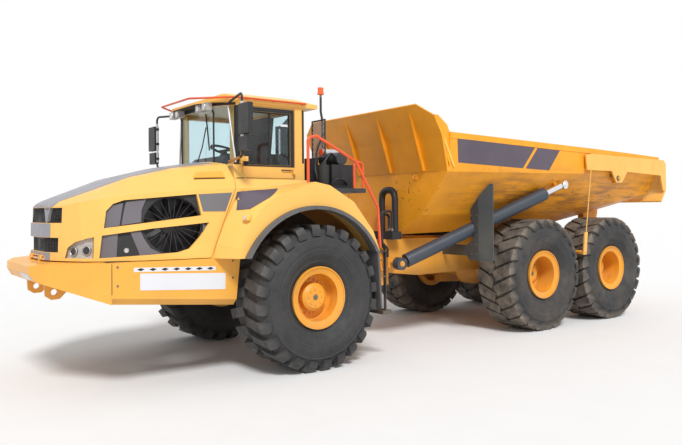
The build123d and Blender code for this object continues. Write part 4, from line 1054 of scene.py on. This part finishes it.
@dataclass
class Nose:
    """Grey stripe over the hood and down the nose, and the bars of its openings."""

    shop: Shop
    rows: tuple[Triple, ...] = ((1.54, 1.705, 0.545), (1.87, 2.04, 0.585))
    stripe: Points = ((2.862, 0.43), (2.62, 0.50), (1.9, 0.63), (0.98, 0.68))
    patches: tuple[tuple[float, float, float, float], ...] = (
        (-0.42, 0.42, 2.045, 2.066), (-0.42, 0.42, 1.710, 1.865), (-0.42, 0.42, 1.520, 1.537),
        (-0.135, 0.135, 1.452, 1.517), (0.265, 0.42, 1.452, 1.517), (-0.42, -0.305, 1.452, 1.517))
    bar_count: int = 41
    bar_levels: tuple[float, ...] = (0.12, 0.37, 0.63, 0.88)
    bar_radius: float = 0.0055
    bar_depth: float = 0.034

    def build(self) -> None:
        """Build the stripe and the bars."""
        skin = Skin("hood")
        outline = [*self.stripe, *((x, -y) for x, y in reversed(self.stripe))]
        self.shop.sheet("nose_stripe_top", "hood", "stripe_grey", skin, self.shop.flat(outline), Look.Z, 1,
                        0.005, 0.045)
        front = self.shop.piece("nose_stripe_front", "hood", "stripe_grey")
        for y0, y1, low, high in self.patches:
            front.lay(skin, [(y0, low), (y1, low), (y1, high), (y0, high)], Look.X, 1, 0.0045, 0.03)
        front.done()
        bars = self.shop.piece("nose_bars", "hood", "plastic_black")
        for low, high, reach in self.rows:
            self.bars(bars, skin, low, high, reach)
        bars.done()

    def bars(self, piece: Piece, skin: Skin, low: float, high: float, reach: float) -> None:
        """Upright and level bars behind one opening, along the hood's own curve.

        Args:
            piece: piece that takes the bars.
            skin: the hood's surface.
            low: height of the opening's lower edge.
            high: height of its upper edge.
            reach: half width of the opening.
        """
        back = Vector((-1, 0, 0))
        last = self.bar_count - 1
        stations = [reach * (2 * i / last - 1) * 0.985 for i in range(self.bar_count)]
        feet, heads = ([skin.ahead(y, z)[0] + back * self.bar_depth for y in stations]
                       for z in (low - 0.006, high + 0.006))
        for foot, head in zip(feet, heads):
            piece.tube([foot, head], self.bar_radius, 6)
        for share in self.bar_levels:
            piece.tube([foot.lerp(head, share) + back * 0.008 for foot, head in zip(feet, heads)],
                       self.bar_radius, 6)


@dataclass
class Skirt:
    """Blank plates, marked strip, dark seams and bolts on the skirts and the bumper."""

    shop: Shop
    marks: int = 7
    plates: tuple[Points, ...] = (((2.137, 1.135), (2.137, 1.318), (1.117, 1.262), (1.120, 1.072)),
                                  ((2.206, 1.338), (2.206, 1.385), (1.243, 1.346), (1.243, 1.300)))
    seam: Points = ((2.445, 1.03), (2.445, 1.435), (2.435, 1.435), (2.435, 1.03))
    front_plate: Points = ((0.08, 1.245), (0.50, 1.245), (0.50, 1.312), (0.08, 1.312))
    mark_start: Pair = (1.31, 1.3265)
    mark_run: Pair = (0.82, 0.034)
    bolt_stations: Pair = (2.38, 1.02)

    def build(self) -> None:
        """Build the plates and marks of both sides."""
        skin = Skin("skirts", "bumper")
        plate, marks, seams = self.shop.pieces("tractor", side_plates="plate_white", side_marks="mark_black",
                                               skirt_seams="gasket_black")
        for side in Side:
            sign = side.value
            for outline in self.plates:
                plate.lay(skin, self.shop.flat(outline), Look.Y, sign)
            seams.lay(skin, self.shop.flat(self.seam), Look.Y, sign, 0.0015)
            face, _ = self.shop.beside(skin, 1.7, 1.34, sign)
            item = item_mesh(((0.0, 0.0012, 0.017, 4),))
            item.transform(Matrix.Rotation(-sign * math.pi / 2, 4, "X")
                           @ Matrix.Diagonal((2.6, 1.0, 1.0, 1.0)))
            start = self.shop.at(self.mark_start[0], face.y + sign * 0.003, self.mark_start[1])
            step = (self.mark_run[0] / (self.marks - 1), 0, self.mark_run[1] / (self.marks - 1))
            marks.repeat(item, Row(self.marks, step=step), Matrix.Translation(start))
        plate.lay(skin, self.front_plate, Look.X, 1, 0.0025)
        finish_all(plate, marks, seams)
        bolts = self.shop.piece("skirt_bolts", "tractor", "bolt_steel")
        for side in Side:
            for x in self.bolt_stations:
                low, high = (self.shop.beside(skin, x, z, side.value)[0] for z in (1.20, 1.40))
                self.shop.bolts_line(bolts, low, high, Vector((0, side.value, 0)), 2, 0.010)
        bolts.done()


@dataclass
class Cab:
    """Gaskets, pillars, wiper, lamps, visor, mirrors and door fittings."""

    shop: Shop
    bead: float = 0.012
    sleeve: float = 0.0185
    pillar_x: Pair = (0.664, 0.719)
    pillar_y: Pair = (0.771, 0.854)
    head_half: float = 0.83
    head_height: Pair = (0.003, 0.034)
    glass_half: float = 0.50
    strip: Points = ((-0.262, 2.62), (-0.292, 2.62), (-0.292, 3.34), (-0.262, 3.34))
    label: Points = ((0.06, 3.10), (0.06, 3.13), (-0.05, 3.13), (-0.05, 3.10))
    lining: float = 0.014
    wiper_arm: Points = ((0.10, -0.01), (0.22, 0.25), (0.34, 0.50))
    wiper_blade: Points = ((0.40, 0.20), (0.30, 0.68))
    lamp_row: tuple[float, ...] = (-0.52, -0.33, 0.33, 0.52)
    mirror: Pair = (0.90, 1.33)
    clamp_heights: tuple[float, ...] = (2.76, 2.98, 3.20)

    def build(self) -> None:
        """Build every piece of the cab."""
        shell = Skin("cab_shell", "cab_glass")
        self.door_trim(Skin("cab_door", "cab_shell"))
        self.screen(shell)
        self.wiper(shell)
        self.roof()
        self.mirrors()

    def screen(self, skin: Skin) -> None:
        """Dark front pillars, the windscreen's bead and the strips behind the door."""
        frame, strips = self.shop.pieces("tractor", screen_frame="gasket_black",
                                         quarter_strips="gasket_black")
        low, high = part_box("cab_glass")
        cab = Skin("cab_shell")
        for sign in (1, -1):
            near, far = sorted(sign * y for y in self.pillar_y)
            back, front = self.pillar_x
            frame.box(self.shop.at(back, near, low.z), self.shop.at(front, far, high.z), 0.003)
            strips.lay(cab, self.shop.flat(self.strip), Look.Y, sign, 0.003)
        bottom, top = (high.z + rise for rise in self.head_height)
        frame.lay(cab, self.upright(self.head_half, bottom, top), Look.X, 1, 0.004, 0.03)
        frame.trim(skin, self.upright(self.glass_half, low.z, high.z), Look.X, 1, self.bead)
        finish_all(frame, strips)

    @staticmethod
    def upright(half: float, low: float, high: float) -> list[Pair]:
        """Corners of a level rectangle across the centre line."""
        return [(-half, low), (half, low), (half, high), (-half, high)]

    def door_trim(self, skin: Skin) -> None:
        """Dark frame of the door's window, its handle and a small blank label."""
        low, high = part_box("cab_door")
        glass_low, glass_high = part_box("door_glass")
        trim = self.shop.piece("door_frame_trim", "cab_door", "gasket_black")
        outer = (low.x + 0.006, glass_low.z - 0.02, high.x - 0.06, high.z - 0.006)
        inner = (glass_low.x - 0.002, glass_low.z - 0.002, glass_high.x + 0.002, glass_high.z + 0.002)
        for x0, z0, x1, z1 in ((outer[0], outer[1], inner[0], outer[3]),
                               (inner[2], outer[1], outer[2], outer[3]),
                               (inner[0], inner[3], inner[2], outer[3]),
                               (inner[0], outer[1], inner[2], inner[1])):
            trim.lay(skin, [(x0, z0), (x1, z0), (x1, z1), (x0, z1)], Look.Y, 1, 0.004)
        bar_x = low.x + 0.45 * (high.x - low.x)
        face = glass_high.y
        trim.box((bar_x - 0.012, face - 0.012, glass_low.z), (bar_x + 0.012, face + 0.010, glass_high.z))
        for x in (glass_low.x, glass_high.x - self.lining):
            trim.box((x, low.y + 0.001, glass_low.z), (x + self.lining, face + 0.022, glass_high.z))
        for z in (glass_low.z, glass_high.z - self.lining):
            trim.box((glass_low.x, low.y + 0.001, z), (glass_high.x, face + 0.022, z + self.lining))
        trim.done()
        handle = self.shop.piece("door_handle", "cab_door", "plastic_black")
        z = glass_low.z - 0.06
        y = skin.hit(Vector((low.x + 0.12, FAR, z)), Vector((0, -1, 0)))[0].y
        route = [Vector((low.x + x, y + out, z))
                 for x, out in ((0.06, 0.0), (0.06, 0.02), (0.20, 0.02), (0.20, 0.0))]
        handle.tube(rounded(route, 0.012), 0.007)
        handle.done()
        self.shop.sheet("door_label", "cab_door", "plate_white", Skin("door_glass"),
                        self.shop.flat(self.label), Look.Y, 1, 0.001)

    def wiper(self, skin: Skin) -> None:
        """Arm and blade on the windscreen."""
        piece = self.shop.piece("wiper", "tractor", "gasket_black")
        low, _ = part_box("cab_glass")
        for marks, lift, radius in ((self.wiper_arm, 0.03, 0.008), (self.wiper_blade, 0.012, 0.010)):
            hits = [skin.ahead(y, low.z + z) for y, z in marks]
            piece.tube([place + normal * lift for place, normal in hits], radius)
        piece.done()

    def roof(self) -> None:
        """Dark sheet under the roof's front edge, which paints the shade of the overhang, and the work lamps'
        lenses.
        """
        low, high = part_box("cab_roof")
        edge = self.shop.axle + 0.745
        reach = 0.40 * (high.y - low.y)
        half = [(edge, reach), (high.x - 0.25, reach), (high.x - 0.02, 0.42)]
        outline = [*((x, -y) for x, y in half), *reversed(half)]
        # Dark sheet under the roof's front edge: painted shade.
        self.shop.sheet("visor_underside_painted_shade", "tractor", "dark_painted_shade", Skin("cab_roof"), outline, Look.Z, -1, 0.006)
        lamps = Skin("work_lamps")
        lenses, rims = self.shop.pieces("tractor", work_lamp_lenses="lens_clear", work_lamp_rims="silver")
        low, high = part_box("work_lamps")
        for y in self.lamp_row:
            spot, _ = lamps.ahead(y, (low.z + high.z) / 2)
            lenses.drum(spot, spot + Vector((0.006, 0, 0)), 0.038, 24)
            rims.hoop(spot + Vector((0.004, 0, 0)), Vector((1, 0, 0)), 0.041, 0.005, 28)
        finish_all(lenses, rims)

    def mirrors(self) -> None:
        """Aluminium sleeves, clamps and weathered lower stays of the mirror arms."""
        sleeves, stays, clamps = self.shop.pieces("tractor", mirror_sleeves="silver",
                                                  mirror_stays="stay_brown", mirror_clamps="plastic_black")
        at = self.shop.at
        for sign in (1, -1):
            x, y = self.mirror[0], self.mirror[1] * sign
            sleeves.drum(at(x, y, 2.72), at(x, y, 3.30), self.sleeve, 16)
            sleeves.tube([at(0.775, 0.72 * sign, 3.368), at(0.745, 0.868 * sign, 2.60)], 0.013, 8)
            stays.tube([at(x, y - 0.05 * sign, 2.6365), at(0.845, 0.885 * sign, 2.6015)], 0.0175, 10)
            for z in self.clamp_heights:
                clamps.box(at(0.878, y - 0.03, z), at(0.925, y + 0.03, z + 0.035), 0.004)
        finish_all(sleeves, stays, clamps)


@dataclass
class Deck:
    """Mesh of the rear screen, reservoir, canister and hoses on the deck behind the cab."""

    shop: Shop
    rod_slant: float = math.radians(32)
    rod_radius: float = 0.0035
    bar: float = 0.02
    canister: Pair = (-0.50, 1.02)
    canister_heights: Triple = (2.31, 2.60, 2.64)
    loops: tuple[tuple[Triple, ...], ...] = (
        ((-0.50, 1.02, 2.63), (-0.62, 1.02, 2.78), (-0.75, 0.95, 2.70), (-0.80, 0.90, 2.60)),
        ((-0.46, 0.98, 2.34), (-0.46, 0.86, 2.55), (-0.52, 0.84, 2.85), (-0.62, 0.86, 3.05)),
        ((-0.60, 1.06, 2.34), (-0.66, 1.10, 2.42), (-0.78, 1.10, 2.40), (-0.88, 1.04, 2.34)))
    louvres: int = 7
    louvre_gap: float = 0.030

    def build(self) -> None:
        """Build the deck's pieces."""
        low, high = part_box("rear_screen")
        self.mesh("rear_screen_mesh", high.x + 0.002, low, high, 26)
        self.tank()
        self.plant()

    @staticmethod
    def clip(start: float, slope: float, low: float, high: float,
             height: float) -> tuple[Pair, Pair] | None:
        """Part of a slanted line that lies inside a band.

        Args:
            start: where the line begins at height nought.
            slope: how far it runs sideways for each metre up.
            low: one side of the band.
            high: the other side.
            height: height of the band.

        Returns:
            Both ends as pairs of place and height, or None when nothing lies inside.
        """
        rise = sorted(((low - start) / slope, (high - start) / slope))
        first, last = max(0.02, rise[0]), min(height - 0.02, rise[1])
        if last - first < 0.03:
            return None
        return (start + slope * first, first), (start + slope * last, last)

    def tank(self) -> None:
        """Bright reservoir with end caps on the left deck box."""
        low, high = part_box("deck_boxes")
        start, ahead = Vector((low.x + 0.12, high.y - 0.20, high.z - 0.055)), Vector((1, 0, 0))
        tank = self.shop.piece("deck_reservoir", "tractor", "silver")
        tank.drum(start, start + ahead * 0.30, 0.048, 28)
        tank.done()
        caps = self.shop.piece("reservoir_caps", "tractor", "rail_red")
        for way in (-0.012, 0.294):
            caps.drum(start + ahead * way, start + ahead * (way + 0.018), 0.050, 24)
        caps.done()

    def plant(self) -> None:
        """Canister, louvres, cable loops and the framed mesh beside the cab."""
        at = self.shop.at
        dark = self.shop.piece("deck_plant", "tractor", "plastic_black")
        foot, neck, top = (at(*self.canister, z) for z in self.canister_heights)
        dark.drum(foot, neck, 0.075, 24)
        dark.drum(neck, top, 0.040, 20)
        for route in self.loops:
            dark.tube(rounded([at(*point) for point in route], 0.07), 0.014, 8)
        dark.done()
        louvres = self.shop.piece("box_louvres", "tractor", "guard_wire")
        spot, _ = self.shop.beside(Skin("deck_boxes"), -0.82, 2.45, 1)
        item = item_mesh(((0.0, 0.006, 0.010, 4),))
        item.transform(Matrix.Rotation(-math.pi / 2, 4, "X") @ Matrix.Diagonal((9.0, 0.8, 1.0, 1.0)))
        louvres.repeat(item, Row(self.louvres, step=(0, 0, self.louvre_gap)),
                       Matrix.Translation((spot.x, spot.y, 2.36)))
        louvres.done()
        frame = self.shop.piece("side_screen_frame", "tractor", "steel_dark")
        low, high = at(-0.606, 0.60, 2.70), at(-0.586, 0.93, 3.24)
        for y in (low.y, high.y - self.bar):
            frame.box((low.x, y, 2.28), (high.x, y + self.bar, high.z))
        for z in (low.z, high.z - self.bar):
            frame.box((low.x, low.y, z), (high.x, high.y, z + self.bar))
        frame.done()
        self.mesh("side_screen_mesh", (low.x + high.x) / 2, low, high, 16)

    def mesh(self, name: str, x: float, low: Vector, high: Vector, rods: int) -> None:
        """Two crossed rows of slanted rods in an upright frame.

        Args:
            name: name of the piece.
            x: place of the rods.
            low: lowest corner of the frame.
            high: highest corner of the frame.
            rods: rods in each row.
        """
        piece = self.shop.piece(name, "tractor", "mesh_grey")
        height = high.z - low.z
        slope = math.tan(self.rod_slant)
        run = height * slope
        for sign in (1, -1):
            for i in range(rods + 1):
                start = low.y - (run if sign > 0 else 0) + (high.y - low.y + run) * i / rods
                ends = self.clip(start, sign * slope, low.y + 0.01, high.y - 0.01, height)
                if ends:
                    piece.tube([Vector((x + 0.003 * sign, y, low.z + z)) for y, z in ends],
                               self.rod_radius, 4)
        piece.done()


@dataclass
class Body:
    """Blank bands, corner ribs, hooks and seam of the load body, and the tailgate's pin caps."""

    shop: Shop
    bands: tuple[Points, ...] = (((-2.43, 3.01), (-4.20, 2.965), (-3.93, 2.625), (-2.47, 2.665)),
                                 ((-4.27, 2.96), (-4.85, 2.945), (-4.60, 2.61), (-4.005, 2.625)))
    rib: Points = ((-2.095, 3.12), (-2.13, 3.12), (-2.385, 2.60), (-2.35, 2.60))
    rib_y: Pair = (1.56, 1.645)
    seam: Points = ((-1.45, 2.545), (1.45, 2.545))
    pin: Pair = (-6.53, 2.52)

    def build(self) -> None:
        """Build every piece of the body."""
        skin = Skin("dump_body")
        decal, ribs, hooks, seam = self.shop.pieces("dump_body", body_bands="decal_slate",
                                                    corner_ribs="rib_yellow", lifting_hooks="body_orange",
                                                    headboard_seam="body_orange")
        for side in Side:
            sign = side.value
            for outline in self.bands:
                decal.lay(skin, self.shop.flat(outline), Look.Y, sign, 0.003, 0.25)
            ribs.prism(self.shop.flat(self.rib), Look.Y, *(sign * y for y in self.rib_y), 0.004)
            spot, normal = skin.hit(self.shop.at(2, 0.95 * sign, 2.48), Vector((-1, 0, 0)))
            hooks.box(spot - Vector((0.01, 0.035, 0.05)), spot + Vector((0.012, 0.035, 0.05)), 0.004)
            hooks.hoop(spot + normal * 0.035, Vector((0, 1, 0)), 0.028, 0.008, 24)
        seam.trim(skin, self.seam, Look.X, 1, 0.007, closed=False)
        finish_all(decal, ribs, hooks, seam)
        self.gate()

    def gate(self) -> None:
        """Bolted pin caps of the tailgate."""
        caps = self.shop.piece("gate_pin_caps", "tailgate", "bolt_steel")
        skin = Skin("tailgate")
        for side in Side:
            spot, _ = self.shop.beside(skin, *self.pin, side.value)
            way = Vector((0, side.value, 0))
            start = spot - way * 0.02
            caps.drum(start, start + way * 0.022, 0.055, 24)
            self.shop.bolts_round(caps, start + way * 0.021, way, 0.036, 4, 0.007)
        caps.done()


@dataclass
class Fenders:
    """Marker lamps, flare and mudguard bolts, arch linings, duct ribs and hose nuts."""

    shop: Shop
    arch: Triple = (0.055, 0.96, 1.062)
    pod: Triple = (0.93, 1.872, 1.948)
    pod_corners: Points = ((0.84, -0.04), (0.99, -0.05), (1.0, 0.060), (0.95, 0.070))
    liner_radii: Pair = (1.083, 1.095)
    liner_y: Pair = (0.60, 1.29)
    liner_steps: int = 31
    wall_y: Pair = (0.60, 0.615)
    wall_steps: int = 26
    duct: tuple[Pair, ...] = ((0.33, 1.66), (0.33, 2.29), (0.64, 2.29), (0.64, 1.66))
    duct_x: float = -2.095
    duct_radius: float = 0.048
    rib_gap: float = 0.03

    def build(self) -> None:
        """Build the pieces of both sides."""
        skin = Skin("fenders", "cowl")
        pods, lenses, bolts = self.shop.pieces("tractor", marker_pods="yellow_painted_sunlit",
                                               marker_lenses="lens_clear", flare_bolts="bolt_steel")
        flares = Skin("flares")
        for side in Side:
            sign = side.value
            x, low, high = self.pod
            y = self.shop.beside(skin, x, 1.91, sign)[0].y
            outline = [(ahead, y + sign * out) for ahead, out in self.pod_corners]
            pods.prism(self.shop.flat(outline), Look.Z, low, high, 0.012)
            spot = self.shop.at(0.998, y + sign * 0.015, 1.91)
            lenses.drum(spot, spot + Vector((0.012, 0, 0)), 0.030, 20)
            x, z, radius = self.arch
            face, _ = self.shop.beside(flares, x, z + radius, sign)
            self.shop.bolts_round(bolts, self.shop.at(x, face.y, z), Vector((0, sign, 0)), radius, 13, 0.010,
                                  math.radians(28), math.radians(12))
        finish_all(pods, lenses, bolts)
        self.guards()
        self.liners()
        self.hoses()

    def guards(self) -> None:
        """Bolts of the black mudguards."""
        bolts = self.shop.piece("mudguard_bolts", "rear_module", "bolt_steel")
        skin = Skin("mudguards")
        ahead = Vector((1, 0, 0))
        for sign in (1, -1):
            for y in (1.20, 1.31):
                spots = [skin.hit(self.shop.at(3, y * sign, z), -ahead)[0] for z in (1.28, 1.88)]
                self.shop.bolts_line(bolts, spots[0], spots[1], ahead, 5, 0.009)
        bolts.done()

    def liners(self) -> None:
        """Curved lining over each front wheel in a darker orange that paints the shade under the fender
        together with rust and dust, and the wall at its inner edge in painted shade.
        """
        x, z, _ = self.arch
        angles = [math.radians(46.8 + 4.2 * i) for i in range(self.liner_steps)]
        inner, outer = ([(x + r * math.cos(a), z + r * math.sin(a)) for a in angles]
                        for r in self.liner_radii)
        # Linings: painted shade with rust and dust; walls: painted shade.
        liners, walls = self.shop.pieces("tractor", arch_liners="liner_shade_and_dirt", arch_walls="dark_painted_shade")
        for sign in (1, -1):
            for made, outline, reach in ((liners, inner + outer[::-1], self.liner_y),
                                         (walls, inner[:self.wall_steps], self.wall_y)):
                made.prism(self.shop.flat(outline), Look.Y, *(sign * y for y in reach), 0.0)
        finish_all(liners, walls)

    def hoses(self) -> None:
        """Ribs along the duct arch and bright nuts on the hose loops."""
        ribs = self.shop.piece("duct_ribs", "rear_module", "hose_rubber")
        at = self.shop.at
        route = rounded([at(self.duct_x, y, z) for y, z in self.duct], 0.15, 12)
        for start, end in zip(route, route[1:]):
            count = max(1, round((end - start).length / self.rib_gap))
            for i in range(count):
                ribs.hoop(start.lerp(end, i / count), end - start, self.duct_radius, 0.0055, 20)
        ribs.done()
        nuts = self.shop.piece("hose_nuts", "rear_module", "bolt_steel")
        for y in (0.61, 0.68):
            nuts.drum(at(-1.998, y, 1.651), at(-1.998, y, 1.695), 0.028, 6)
            nuts.hoop(at(-1.998, y, 1.72), Vector((0, 0, 1)), 0.021, 0.004, 20)
        nuts.done()


# ------------------------------------------------------------------ studio
@dataclass
class Studio:
    """Floor, light and camera."""

    shop: Shop
    eye: Triple = (4.8112, 8.6011, 1.998)
    heading: float = -2.22263
    rise: float = 0.005265
    roll: float = 0.008233
    lens: float = 36.126
    shift: Pair = (-0.01603, -0.02487)
    sun: float = 2.6
    sun_spread: float = 14
    sun_way: Triple = (-0.28, -0.62, -0.73)
    surround: Pair = (0.62, 1.0)
    floor_half: float = 60.0

    def build(self) -> None:
        """Set the whole stage."""
        self.floor()
        self.light()
        self.camera()

    def floor(self) -> None:
        """Plain pale floor, declared as stage."""
        low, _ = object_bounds()
        mesh = bmesh.new()
        bmesh.ops.create_grid(mesh, x_segments=8, y_segments=8, size=self.floor_half,
                              matrix=Matrix.Translation((0, 0, low[2] - 0.001)))
        data = bpy.data.meshes.new("floor")
        mesh.to_mesh(data)
        mesh.free()
        pale = Finish("floor_pale", (0.80, 0.80, 0.80), 0.9, mottle=0.01, relief=0.0)
        data.materials.append(pale.build())
        floor = bpy.data.objects.new("floor", data)
        bpy.context.scene.collection.objects.link(floor)
        floor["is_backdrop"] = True

    def light(self) -> None:
        """Soft sun from the front left and a surround that is whitest where it is seen itself."""
        lamp = bpy.data.lights.new("key", "SUN")
        lamp.energy, lamp.angle = self.sun, math.radians(self.sun_spread)
        key = bpy.data.objects.new("key", lamp)
        key.rotation_euler = Vector(self.sun_way).to_track_quat("-Z", "Y").to_euler()
        bpy.context.scene.collection.objects.link(key)
        world = bpy.data.worlds.new("surround")
        world.use_nodes = True
        tree = world.node_tree
        new, back = tree.nodes.new, tree.nodes["Background"]
        seen, either, more = new("ShaderNodeLightPath"), new("ShaderNodeMath"), new("ShaderNodeMath")
        either.operation = more.operation = "MAXIMUM"
        level = new("ShaderNodeMapRange")
        level.inputs[3].default_value, level.inputs[4].default_value = self.surround
        back.inputs["Color"].default_value = (1, 1, 1, 1)
        wire(tree, (seen, "Is Camera Ray", either, 0), (seen, "Is Glossy Ray", either, 1),
             (either, 0, more, 0), (seen, "Is Transmission Ray", more, 1),
             (more, 0, level, 0), (level, 0, back, "Strength"))
        bpy.context.scene.world = world
        bpy.context.scene.view_settings.view_transform = "Standard"

    def camera(self) -> None:
        """Camera at the fitted place."""
        data = bpy.data.cameras.new("camera")
        data.sensor_width = 36.0
        data.lens = self.lens
        data.shift_x, data.shift_y = self.shift
        data.clip_end = 500
        made = bpy.data.objects.new("camera", data)
        flat = math.cos(self.rise)
        way = Vector((flat * math.cos(self.heading), flat * math.sin(self.heading), math.sin(self.rise)))
        turn = way.to_track_quat("-Z", "Y").to_matrix().to_4x4() @ Matrix.Rotation(-self.roll, 4, "Z")
        made.matrix_world = Matrix.Translation(self.shop.at(*self.eye)) @ turn
        bpy.context.scene.collection.objects.link(made)
        bpy.context.scene.camera = made


def paint_node(name: str, material: bpy.types.Material) -> None:
    """Give a CAD node its material."""
    data = FRAME["nodes"][name].data
    data.materials.clear()
    data.materials.append(material)
    LOG.info("%s: %s", name, material.name)


def paint_frame(shop: Shop) -> None:
    """Give every CAD node its finish."""
    for name in FRAME["nodes"]:
        if name in NODE_FINISH:
            paint_node(name, shop.paints[NODE_FINISH[name]])
        elif name.startswith(("hoist_barrel", "steer_barrel")):
            paint_node(name, shop.paints["cylinder_slate"])
        elif name.startswith(("hoist_rod", "steer_rod")):
            paint_node(name, shop.paints["chrome"])
    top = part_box("beacon")[1].z
    foot, collar, lens = (0.03, 0.03, 0.032), (0.25, 0.24, 0.23), (0.85, 0.14, 0.03)
    beacon = Banded("beacon_bands", foot, 0.3, bands=((top - 0.14, collar), (top - 0.105, lens)))
    paint_node("beacon", beacon.build())


def main() -> None:
    """Dress the frame in order, then set the stage."""
    logging.basicConfig(level=logging.INFO, format="%(message)s")
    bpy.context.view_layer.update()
    shop = Shop()
    paint_frame(shop)
    hood = [HoodSide(shop, side) for side in Side]
    for assembly in (Wheels(shop), *hood, Nose(shop), Skirt(shop), Cab(shop), Deck(shop), Fenders(shop),
                     Body(shop), Studio(shop)):
        assembly.build()


if __name__ == "__main__":
    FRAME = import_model()
    main()
